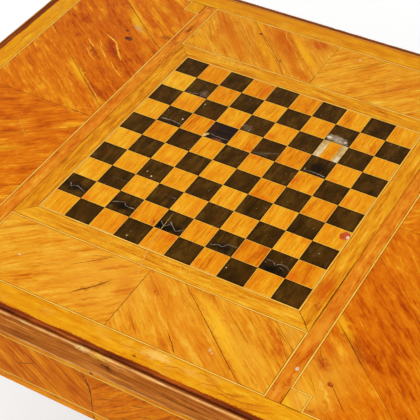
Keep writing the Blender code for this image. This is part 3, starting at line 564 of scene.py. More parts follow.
rim_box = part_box("rim_front")
leg_low, leg_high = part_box("leg_front_left")
frieze_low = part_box("rail_front")[0].z
block = leg_high.x - leg_low.x
drawer_low, drawer_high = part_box("drawer_right_front")
frieze_half = {}
for side in OUTWARD:
    frieze_half[side] = (-leg_low.x, -leg_low.y) if side in ENDS else (-leg_low.y, -leg_low.x)
middle_height = (LOWER_LINE + UPPER_LINE) / 2
for side in OUTWARD:
    along = frieze_half[side][0]
    pick = random.Random(f"frieze {side}")
    plane = front_plane(side)
    run = along - block
    field = box_outline(-run, run, LOWER_LINE + LINE_WIDTH + JOINT, UPPER_LINE - JOINT)
    if side in ENDS:
        gap_left, gap_right = drawer_low.x - OPENING_EASE, drawer_high.x + OPENING_EASE
        sill = drawer_low.z - OPENING_EASE
        top = UPPER_LINE - JOINT
        field[3:3] = [(gap_right, top), (gap_right, sill), (gap_left, sill), (gap_left, top)]
    cuts = [((x * run / 2, middle_height), UPRIGHT) for x in (-1, 0, 1)]
    leaves = []
    for outline in sawn(field, cuts):
        quarter = math.floor(2 * middle_of(outline).x / run)
        rise = FRIEZE_V if quarter in (0, -2) else -FRIEZE_V
        place = MIDDLE_CUT if quarter in (0, -1) else found(pick)
        tone = pick.uniform(-FRIEZE_TONE, FRIEZE_TONE)
        leaves.append(Leaf(outline, rise, tone, place, 1 if rise > 0 else -1))
    lay(f"frieze_{side}", leaves, FRIEZE_VENEER, plane, frieze_wood, "case", FRIEZE_EASE)
    bands = []
    upper = (UPPER_LINE + LINE_WIDTH + JOINT, rim_box[0].z - JOINT)
    for low_z, high_z in (upper, (frieze_low, LOWER_LINE - JOINT)):
        for outline in sawn(box_outline(-run, run, low_z, high_z), [((0, 0), UPRIGHT)]):
            bands.append(Leaf(outline, 0.0, pick.uniform(-BAND_TONE, BAND_TONE), found(pick)))
    lay(f"frieze_bands_{side}", bands, FRIEZE_VENEER, plane, frieze_band_wood, "case",
        FRIEZE_EASE)
    lines = []
    for z in (UPPER_LINE, LOWER_LINE):
        lines.append(Leaf(box_outline(-run, run, z, z + LINE_WIDTH), 0.0, 0.0, (z * LONG_LINE_SHIFT, 0)))
    for way in (-1, 1):
        near, far = sorted((way * (run + 2 * JOINT), way * along))
        lines += line_frame(near + LINE_MARGIN, far - LINE_MARGIN, LOWER_LINE, UPPER_LINE + LINE_WIDTH,
                            LINE_WIDTH)
    lay(f"frieze_lines_{side}", lines, FRIEZE_VENEER, plane, boxwood, "case", 0.0)

# The two drawers: oak sides lapped into the front and back with dovetails, and a bottom in grooves.
# The front is veneered like the frieze, with a boxwood line round it and its grain on the slope.
DRAWER_MARGIN = 0.0035
DRAWER_CUT = (1.7, 3.1)
DRAWER_SIDES = {"right": "front", "left": "back"}
DRAWER_PARTS = {"side_left": "y", "side_right": "y", "back": "x", "bottom": "x", "front": "x"}


def drawn_in(face, inset):
    """A face's left, right, lower and upper edge, that much further in."""
    low_x, high_x, low_y, high_y = face
    return low_x + inset, high_x - inset, low_y + inset, high_y - inset


for hand, side in DRAWER_SIDES.items():
    body = f"drawer_{hand}"
    for part, way in DRAWER_PARTS.items():
        softened(f"{body}_{part}", OAK_SOFTENING / 2, oak[way])
    low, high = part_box(f"{body}_front")
    low_x, high_x = sorted(-OUTWARD[side][1] * x for x in (low.x, high.x))
    face = (low_x, high_x, low.z, high.z)
    panel = box_outline(*drawn_in(face, DRAWER_MARGIN + LINE_WIDTH + JOINT))
    middle = middle_of(panel)
    leaves = []
    for outline in sawn(panel, [((middle.x, middle.y), UPRIGHT)]):
        way = 1 if middle_of(outline).x > middle.x else -1
        leaves.append(Leaf(outline, way * FRIEZE_V, 0.0, DRAWER_CUT, way))
    edging = line_frame(*face, DRAWER_MARGIN - JOINT)
    line = line_frame(*drawn_in(face, DRAWER_MARGIN), LINE_WIDTH)
    for name, laid, veneer, slot, ease in (
        ("veneer", leaves, frieze_wood, "tulipwood", FRIEZE_EASE),
        ("edging", edging, frieze_band_wood, "tulipwood", FRIEZE_EASE),
        ("line", line, boxwood, "boxwood_line", 0.0),
    ):
        lay(f"{body}_{name}", laid, FRIEZE_VENEER, front_plane(side), veneer, body, ease)

# The knobs: turned brass on a round plate, screwed through the middle of each drawer front.
# They are worn bright at the crown, and dark in the turned groove behind it.
KNOB_TURNS = 48
CROWN_STEPS = 16
CROWN_SHARE = 0.82
KNOB_FOLD = math.radians(50)
PLATE_TURNING = [(0.0, 0.0), (1.0, 0.0), (1.0, 0.0007), (0.93, 0.0013), (0.80, 0.0015), (0.72, 0.0021),
                 (0.45, 0.0024), (0.37, 0.0036), (0.38, 0.0056)]
for hand, side in DRAWER_SIDES.items():
    way = OUTWARD[side][1]
    low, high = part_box(f"drawer_{hand}_knob")
    middle = (low + high) / 2
    face = frieze_half["front"][1] + FRIEZE_VENEER
    plate = (high.x - low.x) / 2
    crown = plate * CROWN_SHARE
    ball = max(abs(low.y), abs(high.y)) - face - crown
    profile = [(share * plate, out) for share, out in PLATE_TURNING]
    start = math.asin(max(-1.0, (profile[-1][1] - ball) / crown))
    for step in range(1, CROWN_STEPS + 1):
        turn = start + (math.pi / 2 - start) * step / CROWN_STEPS
        radius = crown * math.cos(turn) if step < CROWN_STEPS else 0.0
        profile.append((radius, ball + crown * math.sin(turn)))
    shape = bmesh.new()
    mark = shape.verts.layers.float.new("edge")
    points = [shape.verts.new((radius, 0, out)) for radius, out in profile]
    edges = [shape.edges.new(pair) for pair in zip(points, points[1:])]
    bmesh.ops.spin(shape, geom=points + edges, cent=(0, 0, 0), axis=(0, 0, 1), angle=math.tau,
                   steps=KNOB_TURNS)
    bmesh.ops.remove_doubles(shape, verts=shape.verts, dist=SAME_POINT * 5)
    for vert in shape.verts:
        vert[mark] = max(0.0, min(1.0, (vert.co.z - ball) / crown))
    bmesh.ops.recalc_face_normals(shape, faces=shape.faces)
    shape.transform(facing((0, way, 0), (middle.x, way * face, middle.z)))
    turned = built(f"drawer_{hand}_knob_turned", shape, brass, KNOB_FOLD)
    fitted(turned, f"drawer_{hand}", [f"drawer_{hand}_knob"])

# The rim: four mitred lengths of moulding that stand round the loose top, glued to the case and pinned.
# Its upper arris and a line at its foot are painted cream, worn bare wood with a painted highlight, and its
# face is brown with golden and blackish patches.
RIM_SHADES = [(0.0, (88, 40, 14)), (0.35, (176, 94, 32)), (0.7, (218, 130, 50)), (1.0, (250, 184, 88))]
# The cream on the upper arris and on the line at the rim's foot is partly worn wood and partly a painted
# highlight.
RIM_CREAM_AND_HIGHLIGHT = (242, 200, 130)
RIM_RADII = (0, 0.0016, 0.0026, 0.0008)
RIM_STEP = 0.003
RIM_WEAR = 0.0007
RIM_BARE = 0.0009
FACE_POINTS = 6
LOWER_ARRIS = 0.0018
WEAR_GRAIN = 0.012
GRAIN_PULL = 0.35
GRAIN_APART = 3
WEAR_REACH = 4
WEAR_DROP = 0.6
WIDE_WEAR, FINE_WEAR, FINER = 0.7, 0.4, 4
INNER_RUBBED = 0.1
RUBBED_RISE = 1.2
PATCH_STREAK = (0.040, 0.0034)
MOULDING_FOLD = math.radians(40)
JOINT_DIRT_AND_SHADE = (112, 52, 18)
SQUARES = 10
PATCH_NOISE = (160.0, 4.0, 0.65)
ColourPatch = namedtuple("ColourPatch", "place reach rgb depth turn", defaults=(0,))


def moulded(name, side, profile, inner, bottom, material, body, wear, arrises, replaced,
            bare_above=1.0):
    """A mitred length of moulding: its profile, outward and up, run along a side and worn at its arrises."""
    along, across = inner if side in ENDS else inner[::-1]
    out = Vector(OUTWARD[side])
    right = Vector((0, 0, 1)).cross(out)
    deepest = max(point[0] for point in profile)
    stations = max(2, round(2 * along / RIM_STEP))
    shape = bmesh.new()
    mark = shape.verts.layers.float.new("edge")
    grain = shape.loops.layers.uv.new("grain")
    rings = []
    for station in range(stations + 1):
        share = 2 * station / stations - 1
        ring = []
        for outward, height in profile:
            flat = right * share * (along + outward) + out * (across + outward)
            place = flat + Vector((0, 0, bottom + height))
            nearest = min((Vector((outward, height)) - Vector(arris)).length for arris in arrises)
            near = max(0.0, 1 - nearest / (WEAR_REACH * wear))
            if height > bare_above:
                near = INNER_RUBBED + (1 - INNER_RUBBED) * min(1.0, RUBBED_RISE * outward / deepest)
            rough = noise.noise(place / WEAR_GRAIN) * WIDE_WEAR
            rough += noise.noise(place / WEAR_GRAIN * FINER) * FINE_WEAR
            worn = near * max(0.0, rough) * wear
            vert = shape.verts.new(place - out * worn - Vector((0, 0, worn * WEAR_DROP)))
            vert[mark] = near
            ring.append(vert)
        rings.append(ring)
    for before, after in zip(rings, rings[1:]):
        for (a, b), (c, d) in zip(neighbours(before), neighbours(after)):
            shape.faces.new((a, b, d, c))
    shape.faces.new(rings[0][::-1])
    shape.faces.new(rings[-1])
    bmesh.ops.recalc_face_normals(shape, faces=shape.faces)
    for face in shape.faces:
        for loop in face.loops:
            spot = loop.vert.co
            loop[grain].uv = (spot.dot(right) * GRAIN_PULL + GRAIN_APART * across, spot.z + spot.dot(out))
    fitted(built(name, shape, material, MOULDING_FOLD), body, [replaced])


def rounded_section(width, height, radii, steps=5):
    """A rectangle, from its inner lower corner outward and round, with the radius of each corner."""
    corners = box_outline(0, width, 0, height)
    towards = box_outline(1, -1, 1, -1)
    points = []
    for index, (corner, way, radius) in enumerate(zip(corners, towards, radii)):
        centre = (corner[0] + way[0] * radius, corner[1] + way[1] * radius)
        for step in range(steps + 1 if radius else 1):
            angle = math.pi + index * UPRIGHT + step / steps * UPRIGHT
            points.append((centre[0] + radius * math.cos(angle), centre[1] + radius * math.sin(angle)))
    return points


board_low, board_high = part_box("chequer_board")
square = (board_high.x - board_low.x) / SQUARES


def stained_and_shaded(material, stains, ragged=0.017, solid=0.6):
    """Soft patches in a finish, both real stains and painted shade and highlights, their places and half
    sizes in squares from the middle of the top's face.
    """
    tree, paint = coat_of(material)
    moved = pushed(tree, place_of(tree), *PATCH_NOISE, ragged)
    broken = spread(tree, patches(tree, grain_of(tree), *PATCH_STREAK, 4.0, 0.65), 0.36, 0.58, solid, 1.0)
    for stain in stains:
        centre = (*(Vector(stain.place) * square), 0.0)[:3]
        within = add(tree, "Mapping", {
            "Vector": moved,
            "Location": (centre[0], centre[1], board_high.z + centre[2]),
            "Rotation": (0.0, 0.0, math.radians(stain.turn)),
            "Scale": (*(Vector(stain.reach) * square), 1.0)[:3],
        }, vector_type="TEXTURE").outputs[0]
        distance = add(tree, "VectorMath", {0: within}, operation="LENGTH").outputs["Value"]
        depth = reckoned(tree, "MULTIPLY", spread(tree, distance, 0.3, 1.0, stain.depth, 0.0), broken)
        paint = blended(tree, depth, paint, stain.rgb)
    return coated(material, paint)


rim_wood = wood("rim_wood", RIM_SHADES, band=0.007, streak=0.0019, bands=0.40, streaks=0.42, blotch=0.45,
                pore=0.6, gloss=(0.35, 0.6), edge=RIM_CREAM_AND_HIGHLIGHT, edge_strength=0.9, relief=0.0002, specular=0.0,
                flame=0.0012, worn_low=0.45)
stained_and_shaded(rim_wood, [
    # The paler greyish band along the top of the back rim is a painted sheen, the light it catches at a
    # grazing angle.
    ColourPatch((0.0, 9.66, 0), (14.0, 0.2, 0.3), (176, 124, 82), 0.9),
    ColourPatch((2.3, -9.7, -0.3), (1.1, 0.3, 0.12), (206, 116, 30), 0.6),
    ColourPatch((0.86, -9.7, -0.4), (0.34, 0.3, 0.13), (92, 46, 24), 0.9),
    ColourPatch((0.55, -9.7, -0.06), (0.5, 0.3, 0.13), (236, 178, 70), 1.0),
    ColourPatch((-0.1, -9.7, 0.0), (0.3, 0.3, 0.1), (240, 204, 132), 1.0),
    ColourPatch((1.3, -9.7, -0.1), (0.3, 0.3, 0.06), (214, 164, 92), 0.8),
])
# Dark brown along the rim's inner top edge, where it meets the lipping: dirt in the joint and painted shade
# in the gap.
dirt_and_shade = [ColourPatch((0.0, way * 9.57, 0), (14.0, 0.065, 0.05), JOINT_DIRT_AND_SHADE, 0.95) for way in (-1, 1)]
dirt_and_shade += [ColourPatch((way * 12.16, 0.0, 0), (0.065, 11.0, 0.05), JOINT_DIRT_AND_SHADE, 0.95) for way in (-1, 1)]
stained_and_shaded(rim_wood, dirt_and_shade, ragged=0.0016, solid=0.8)
rim_width = rim_box[1].y - rim_box[0].y
rim_height = rim_box[1].z - rim_box[0].z
rim_inner = (rim_box[1].x - rim_width, -rim_box[0].y - rim_width)
rim_profile = rounded_section(rim_width, rim_height, RIM_RADII)
split_at = next(i for i, point in enumerate(rim_profile) if point[1] > rim_height / 2)
lower_end, upper_start = rim_profile[split_at - 1][1], rim_profile[split_at][1]
rise = (upper_start - lower_end) / FACE_POINTS
rim_profile[split_at:split_at] = [(rim_width, lower_end + rise * n) for n in range(1, FACE_POINTS)]
rim_arrises = [(rim_width, rim_height), (rim_width, LOWER_ARRIS)]
for side in OUTWARD:
    moulded(f"rim_{side}_worn", side, rim_profile, rim_inner, rim_box[0].z, rim_wood, "case",
            RIM_WEAR, rim_arrises, f"rim_{side}", bare_above=rim_height - RIM_BARE)

# The loose top's core, one panel of oak, and its lippings: dark wood, mitred at the corners.
# Their upper edge is rubbed round and has gone from black at the outside to a reddish brown.
LIPPING_SHADES = [(0.0, (52, 14, 4)), (0.42, (116, 46, 12)), (0.72, (168, 78, 22)), (1.0, (216, 118, 44))]
LIPPING_RED = (138, 48, 10)
LIPPING_HIGHLIGHT = (152, 84, 50)
LIPPING_RADII = (0, 0.0010, 0.0035, 0)
LIPPING_WEAR = 0.0008
softened("top_core", OAK_SOFTENING, oak_boards)
lipping_wood = wood("lipping_wood", LIPPING_SHADES, band=0.010, streak=0.0022, bands=0.50, pore=0.6,
                    gloss=(0.3, 0.55), edge=LIPPING_RED, relief=0.00012)
stained_and_shaded(lipping_wood, [
    # The paler line along the middle of the front and side lippings is a painted highlight, the light off
    # their rounded edge.
    ColourPatch((0.0, -9.46), (14.0, 0.022), LIPPING_HIGHLIGHT, 0.5),
    ColourPatch((12.05, 0.0), (0.022, 11.0), LIPPING_HIGHLIGHT, 0.5),
    ColourPatch((-0.6, -9.42), (1.1, 0.06), (84, 26, 4), 0.8),
    # The dark strip along the lipping's outer edge, beside the rim, is painted shade in the gap between
    # them.
    ColourPatch((0.0, -9.53), (14.0, 0.03), (84, 36, 12), 0.7),
    ColourPatch((3.3, -9.43), (1.7, 0.07), (206, 96, 22), 0.8),
    ColourPatch((1.0, -9.44), (0.9, 0.07), (70, 24, 8), 0.8),
], ragged=0.0030, solid=0.25)
stained_and_shaded(lipping_wood, [ColourPatch((0.0, 9.50), (14.0, 0.40), (214, 134, 40), 1.0)], ragged=0.0012, solid=1.0)
lipping_low, lipping_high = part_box("top_lipping_front")
core_low, core_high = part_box("top_core")
lipping_height = lipping_high.z - lipping_low.z
lipping_profile = rounded_section(core_low.y - lipping_low.y, lipping_height, LIPPING_RADII)
for side in OUTWARD:
    moulded(f"top_lipping_{side}_worn", side, lipping_profile, (core_high.x, core_high.y), lipping_low.z,
            lipping_wood, "top", LIPPING_WEAR, [(0, lipping_height)], f"top_lipping_{side}")

# The hundred squares: pale satinwood and nearly black bog oak by turns, sawn in strips, glued up as a sheet.
# All have their grain from front to back. Shrinkage and knocks have left each one a little out of true.
VENEER_FALL = 0.0002
SQUARE_GAP = 0.00012
LIGHT_EDGE = 0.0011
DARK_EDGE = 0.0050
LIGHT_SHADES = [(0.0, (206, 98, 6)), (0.3, (234, 138, 14)), (0.65, (244, 166, 26)), (1.0, (252, 194, 54))]
DARK_SHADES = [(0.0, (36, 20, 2)), (0.5, (66, 41, 6)), (1.0, (108, 74, 22))]
WARM = (230, 108, 16)
SMOKE = (14, 9, 5)
BROWN_BLOOM = (92, 54, 14)
PORE_DUST = (138, 116, 86)
BLOOM_SIZE = (0.030, 0.020)
DUST_SIZE = (0.0034, 0.0022)
TONE_DRIFT = 0.05
GRAIN_DRIFT = 0.03
SQUARE_FLITCH = 6
REPAIRED = (7, 7)
BURNT = (3, 6)
SQUARE_TONES = {
    (7, 1): -0.3, (9, 1): -0.24, (6, 6): -0.16, (2, 6): -0.16, (1, 9): -0.16, (3, 9): -0.24, (5, 9): -0.14,
    (0, 8): 0.3, (4, 6): -0.1, (1, 5): -0.12, (5, 5): -0.1, (7, 5): -0.12, (6, 4): -0.06, (8, 4): -0.1,
    (3, 1): -0.06, (4, 0): -0.1, (6, 0): -0.12, (0, 4): 0.12, (2, 4): 0.06, (1, 3): 0.08, (5, 3): 0.08,
    (3, 7): 0.06, (5, 7): 0.04, (2, 2): 0.08, (4, 4): 0.04, (6, 8): -0.06, (9, 3): -0.08, (0, 2): 0.06,
    (2, 8): -0.04,
}
face_height = board_high.z - VENEER_FALL
veneer_thickness = board_high.z - board_low.z - VENEER_FALL
light_wood = wood("satinwood", LIGHT_SHADES, band=0.014, streak=0.0026, bands=0.32, gloss=(0.25, 0.4),
                  edge=(255, 206, 92), edge_strength=0.75, worn_low=0.02)
stained_and_shaded(light_wood, [
    ColourPatch((-3.88, -3.88), (0.22, 0.16), WARM, 0.8), ColourPatch((-3.5, -3.2), (0.34, 0.16), WARM, 0.4),
    ColourPatch((-1.14, -3.84), (0.14, 0.22), (206, 84, 10), 0.9), ColourPatch((-0.3, -4.2), (0.5, 0.24), WARM, 0.6),
    ColourPatch((-2.12, -4.4), (0.2, 0.6), WARM, 0.4), ColourPatch((-2.3, -0.75), (0.3, 0.14), WARM, 0.5),
    ColourPatch((-0.2, -2.5), (0.3, 0.6), WARM, 0.4), ColourPatch((1.5, -0.95), (0.6, 0.14), WARM, 0.8),
    ColourPatch((4.15, -3.85), (0.4, 0.22), WARM, 0.8), ColourPatch((1.12, -4.7), (0.14, 0.24), WARM, 0.8),
    ColourPatch((3.82, -2.1), (0.2, 0.24), WARM, 0.6), ColourPatch((-0.08, 1.16), (0.24, 0.2), (226, 96, 12), 0.9),
    ColourPatch((-1.2, 4.5), (0.2, 0.4), WARM, 0.7), ColourPatch((0.2, 2.22), (0.22, 0.2), WARM, 0.9),
    ColourPatch((2.1, 0.4), (0.1, 0.5), (220, 90, 12), 0.9), ColourPatch((0.2, 0.86), (0.3, 0.14), WARM, 0.7),
    ColourPatch((-1.1, 2.12), (0.16, 0.14), WARM, 0.8), ColourPatch((1.6, 2.3), (0.3, 0.3), WARM, 0.4),
    ColourPatch((-3.6, 2.3), (0.4, 0.3), WARM, 0.4), ColourPatch((3.3, 1.1), (0.3, 0.16), WARM, 0.6),
    ColourPatch((-2.6, 0.3), (0.3, 0.2), WARM, 0.3), ColourPatch((4.3, 0.4), (0.3, 0.3), WARM, 0.4),
])


def inlaid(name, leaves, material, edge_width=VENEER_EDGE, replaced=()):
    """Leaves of the top's own veneer, flush with its face."""
    lay(name, leaves, veneer_thickness, level(face_height), material, "top", edge_width, replaced)


def bog_oak(name):
    """The dark squares: near black, with a paler bloom in places and fine specks of wax in the pores."""
    material = wood(name, DARK_SHADES, band=0.014, bands=0.2, streaks=0.2, blotch=0.6, gloss=(0.3, 0.45),
                    edge=(24, 13, 4), edge_strength=0.45, specular=0.03)
    tree, paint = coat_of(material)
    grain = grain_of(tree)
    bloom = spread(tree, patches(tree, grain, *BLOOM_SIZE, 4.0), 0.50, 0.72, 0.0, 0.6)
    dust = spread(tree, patches(tree, grain, *DUST_SIZE, 2.0), 0.66, 0.78, 0.0, 0.35)
    return coated(material, blended(tree, dust, blended(tree, bloom, paint, BROWN_BLOOM), PORE_DUST))


CRACKED_REACH = (0.62, 0.30)
CRACKED = [
    (-4.5, -3.6), (-2.5, -3.6), (-0.45, -3.78), (-0.8, -3.85), (1.6, -3.74), (3.5, -3.78), (3.4, -3.9),
]
smoked = [ColourPatch(place, CRACKED_REACH, SMOKE, 1.0) for place in CRACKED]
dark_wood = stained_and_shaded(bog_oak("bog_oak"), smoked + [
    ColourPatch((2.52, 1.4), (0.56, 0.56), SMOKE, 1.0), ColourPatch((-3.5, 1.12), (0.55, 0.14), SMOKE, 0.7),
    # The silvery smear over the dark square above the patch is a painted reflection in its thick varnish.
    ColourPatch((2.42, 3.18), (0.52, 0.28), (196, 172, 136), 0.8, -12),
    ColourPatch((-0.75, 2.2), (0.25, 0.2), (120, 100, 74), 0.5),
    ColourPatch((-3.2, 3.25), (0.2, 0.3), (132, 108, 80), 0.6, 60),
    ColourPatch((0.5, 1.2), (0.4, 0.15), (104, 84, 58), 0.5, 15),
])
squares = {"light": [], "dark": [], "burnt": []}
pick = random.Random(1780)
for column in range(SQUARES):
    for row in range(SQUARES):
        low_x = board_low.x + column * square
        low_y = board_low.y + row * square
        outline = []
        for corner in box_outline(low_x, low_x + square, low_y, low_y + square):
            middle = (low_x + square / 2, low_y + square / 2)
            inward = [math.copysign(SQUARE_GAP, m - c) for c, m in zip(corner, middle)]
            outline.append(tuple(c + way * (1 + pick.uniform(0, 1)) for c, way in zip(corner, inward)))
        tone = pick.gauss(0, TONE_DRIFT) + SQUARE_TONES.get((column, row), 0.0)
        cut = found(pick, SQUARE_FLITCH)
        shade = "burnt" if (column, row) == BURNT else "dark" if (column + row) % 2 else "light"
        if (column, row) != REPAIRED:
            squares[shade].append(Leaf(outline, UPRIGHT + pick.gauss(0, GRAIN_DRIFT), tone, cut))
inlaid("light_squares", squares["light"], light_wood, LIGHT_EDGE, ["chequer_board"])
inlaid("dark_squares", squares["dark"], dark_wood, DARK_EDGE)

# Two squares differ: one was patched with pale tan strips under thick varnish, their pearly whites a painted
# reflection, with an orange one between them, and one is a replacement in streaky black and red wood that
# shines more than the rest.
PEARL_AND_REFLECTION_SHADES = [
    (0.0, (176, 130, 58)), (0.45, (208, 170, 98)), (0.75, (228, 204, 156)), (1.0, (252, 246, 232)),
]
BURNT_SHADES = [(0.0, (5, 3, 2)), (0.5, (22, 10, 6)), (0.78, (56, 20, 11)), (1.0, (112, 46, 24))]
BURNT_SLANT = 0.05
PATCH_EDGE = 0.0003
LEFT_SHARE, RIGHT_SHARE = 0.27, 0.73
MIDDLE_STRIP_TONE = -0.1
MIDDLE_STRIP_CUT = (3.3, 1.2)
burnt_wood = wood("streaked_black", BURNT_SHADES, band=0.009, streaks=0.6, gloss=(0.3, 0.4), edge=(10, 3, 1),
                  specular=0.08)
stained_and_shaded(burnt_wood, [
    ColourPatch((-1.82, 1.55), (0.22, 0.42), (78, 26, 12), 0.3),
    ColourPatch((-1.42, 1.08), (0.3, 0.09), (168, 78, 40), 0.9),
])
burnt = [leaf._replace(grain=BURNT_SLANT) for leaf in squares["burnt"]]
inlaid("burnt_square", burnt, burnt_wood)
pearl_wood = wood("pearly_patch", PEARL_AND_REFLECTION_SHADES, band=0.012, streak=0.004, blotch=0.7, gloss=(0.15, 0.3),
                  edge=(150, 96, 30), edge_strength=0.6, specular=0.2)


def patch(from_share, to_share, *rest):
    """A strip of the patched square, between two shares of its width."""
    low_x, low_y = board_low.x + REPAIRED[0] * square, board_low.y + REPAIRED[1] * square
    ends = low_x + from_share * square, low_x + to_share * square
    return Leaf(box_outline(*ends, low_y, low_y + square - SQUARE_GAP), UPRIGHT, *rest)


gap_share = SQUARE_GAP / square
pearl = [patch(a, b, 0.0, (a, 1)) for a, b in ((gap_share, LEFT_SHARE), (RIGHT_SHARE, 1 - gap_share))]
inlaid("patched_square_strips", pearl, pearl_wood, PATCH_EDGE)
middle_strip = patch(LEFT_SHARE, RIGHT_SHARE, MIDDLE_STRIP_TONE, MIDDLE_STRIP_CUT)
inlaid("patched_square_middle", [middle_strip], light_wood, PATCH_EDGE)

# Stringing: boxwood lines under two millimetres wide round board and panels, let in with a scratch stock.
# Their glue joints have drawn dark, and the lines stay the palest wood of the top.
STRING_SHADES = [(0.0, (240, 156, 44)), (0.5, (255, 192, 74)), (1.0, (255, 214, 110))]
STRING_WIDTH = 0.0018
STRING_GLUE = 0.00016
STRING_STEP = (0.31, 0.17)
NOTCH = 0.0225
string_wood = wood("boxwood_string", STRING_SHADES, band=0.006, streak=0.0016, fleck=0.2, gloss=(0.28, 0.42),
                   edge=(176, 96, 20), edge_strength=0.55, worn_low=0.0)


def notched(low_x, high_x, low_y, high_y):
    """A rectangle with a square notch at each corner."""
    left, right, front, back = drawn_in((low_x, high_x, low_y, high_y), NOTCH)
    return [
        (left, low_y), (right, low_y), (right, front), (high_x, front), (high_x, back), (right, back),
        (right, high_y), (left, high_y), (left, back), (low_x, back), (low_x, front), (left, front),
    ]


for name in ("board_stringing", "stringing_front", "stringing_right", "stringing_back", "stringing_left"):
    low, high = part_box(name)
    drawn = notched if name.endswith(HANDS) else box_outline
    outer, inner = (drawn(*drawn_in((low.x, high.x, low.y, high.y), inset)) for inset in (0.0, STRING_WIDTH))
    line = mitres(outer, inner, STRING_STEP)
    inlaid(name + "_line", line, string_wood, STRING_GLUE, [name])

# The frame round the board: four lengths of golden veneer with brown streaks, mitred at the corners.
# The two cross strips beside it run from the front band to the back one, redder and blotched.
FRAME_SHADES = [(0.0, (176, 88, 8)), (0.3, (220, 130, 16)), (0.65, (240, 162, 26)), (1.0, (250, 190, 54))]
STRIP_SHADES = [(0.0, (170, 68, 8)), (0.3, (218, 112, 16)), (0.65, (236, 144, 30)), (1.0, (250, 182, 58))]
GLUE_LINE = (92, 44, 10)
FRAME_TONES = (0.10, 0.0, 0.02, -0.08)
RUST_STREAK = (150, 66, 10)
BLOTCH_RED = (190, 68, 8)
frame_wood = wood("frame_veneer", FRAME_SHADES, band=0.010, streak=0.0032, streaks=0.55, edge=GLUE_LINE,
                  edge_strength=0.65)
strip_wood = wood("cross_strip_veneer", STRIP_SHADES, band=0.014, streak=0.0034, blotch=0.5, edge=GLUE_LINE,
                  edge_strength=0.6)
stained_and_shaded(strip_wood, [
    ColourPatch((6.1, -6.5), (0.1, 0.5), BLOTCH_RED, 0.7), ColourPatch((6.06, -7.75), (0.14, 0.4), BLOTCH_RED, 0.7),
    ColourPatch((6.0, -5.4), (0.3, 0.9), (240, 156, 40), 0.7),
    ColourPatch((5.9, -8.3), (0.16, 0.4), (244, 168, 52), 0.7),
    ColourPatch((-5.78, 4.4), (0.03, 1.8), (186, 88, 14), 0.8),
    ColourPatch((-5.68, 1.6), (0.03, 2.4), (190, 94, 18), 0.7),
    ColourPatch((-5.95, 6.7), (0.1, 0.35), (140, 52, 14), 0.8), ColourPatch((-5.95, 8.5), (0.2, 0.2), BLOTCH_RED, 0.7),
    ColourPatch((-5.92, 5.6), (0.12, 0.2), (150, 74, 24), 0.6), ColourPatch((-6.0, 1.6), (0.12, 0.5), BLOTCH_RED, 0.5),
    ColourPatch((5.95, 2.4), (0.12, 0.6), BLOTCH_RED, 0.5),
])
stained_and_shaded(frame_wood, [
    ColourPatch((5.36, -3.9), (0.34, 1.2), (208, 92, 8), 1.0),
    ColourPatch((5.45, -4.6), (0.06, 0.3), RUST_STREAK, 0.8),
    ColourPatch((0.6, -5.24), (2.6, 0.05), (196, 104, 20), 0.7),
    ColourPatch((-1.6, -5.4), (1.6, 0.04), (196, 104, 20), 0.7),
    ColourPatch((3.2, -5.36), (1.4, 0.04), (200, 110, 22), 0.6),
    ColourPatch((-0.4, 5.35), (1.2, 0.12), (224, 120, 14), 0.6),
    ColourPatch((-3.4, 5.5), (1.8, 0.1), (252, 200, 70), 0.6),
])


def mitred(inner, outer):
    """Four lengths mitred round a rectangle, from their inner to their outer half sizes."""
    outlines = [box_outline(-x, x, -y, y) for x, y in (outer, inner)]
    return mitres(*outlines, (0, 0), quarter_turns=True)


frame_inner, frame_outer = (corner.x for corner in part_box("board_frame_right"))
pick = random.Random(12)
lengths = mitred((frame_inner, frame_inner), (frame_outer, frame_outer))
leaves = [leaf._replace(tone=tone, cut=found(pick)) for leaf, tone in zip(lengths, FRAME_TONES)]
inlaid("board_frame_veneer", leaves, frame_wood,
       replaced=[f"board_frame_{side}" for side in OUTWARD])
for hand in HANDS:
    low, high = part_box(f"cross_strip_{hand}")
    strip = Leaf(box_outline(low.x, high.x, low.y, high.y), UPRIGHT, 0.0, found(pick))
    inlaid(f"cross_strip_{hand}_veneer", [strip], strip_wood, replaced=[f"cross_strip_{hand}"])

# The four panels: tulipwood in two halves each, its grain running outward from the board on the slope.
# Every half is pieced from leaves of one flitch, laid as mirror images across the middle joint.
PANEL_SHADES = [(0.0, (196, 94, 8)), (0.3, (230, 138, 22)), (0.65, (242, 168, 38)), (1.0, (254, 202, 74))]
SIDE_PANEL_SHADES = [
    (0.0, (170, 58, 2)), (0.35, (216, 104, 6)), (0.65, (230, 128, 12)), (1.0, (252, 180, 40)),
]
YELLOW = (246, 172, 24)
DEEP_ORANGE = (214, 102, 10)
RUST = (158, 56, 8)
PANEL_TONE_DRIFT = 0.06
SLOPE = {"front": 39, "back": 45, "left": 37, "right": 42}
LEAF_JOINTS = {
    "front": [(1.25, -5.7), (4.5, -5.7), (-1.25, -5.7), (-4.4, -5.7)],
    "back": [(-1.1, 5.75), (-2.5, 8.7), (0.9, 7.4), (1.8, 5.7), (3.9, 5.7)],
    "left": [(-6.2, 4.93), (-6.2, 0.6), (-6.2, -0.7), (-6.2, -4.4), (-6.2, 8.2)],
    "right": [(6.27, -4.8), (6.27, -1.6), (6.27, 1.4), (6.27, 4.7), (6.27, -7.2)],
}
panel_wood = wood("panel_tulipwood", PANEL_SHADES, band=0.016, streak=0.0036, streaks=0.45, edge=GLUE_LINE,
                  flame=0.014)
side_panel_wood = wood("side_panel_tulipwood", SIDE_PANEL_SHADES, band=0.014, streak=0.0034, bands=0.45,
                       streaks=0.36, blotch=0.45, fleck=0.25, edge=GLUE_LINE, flame=0.020)
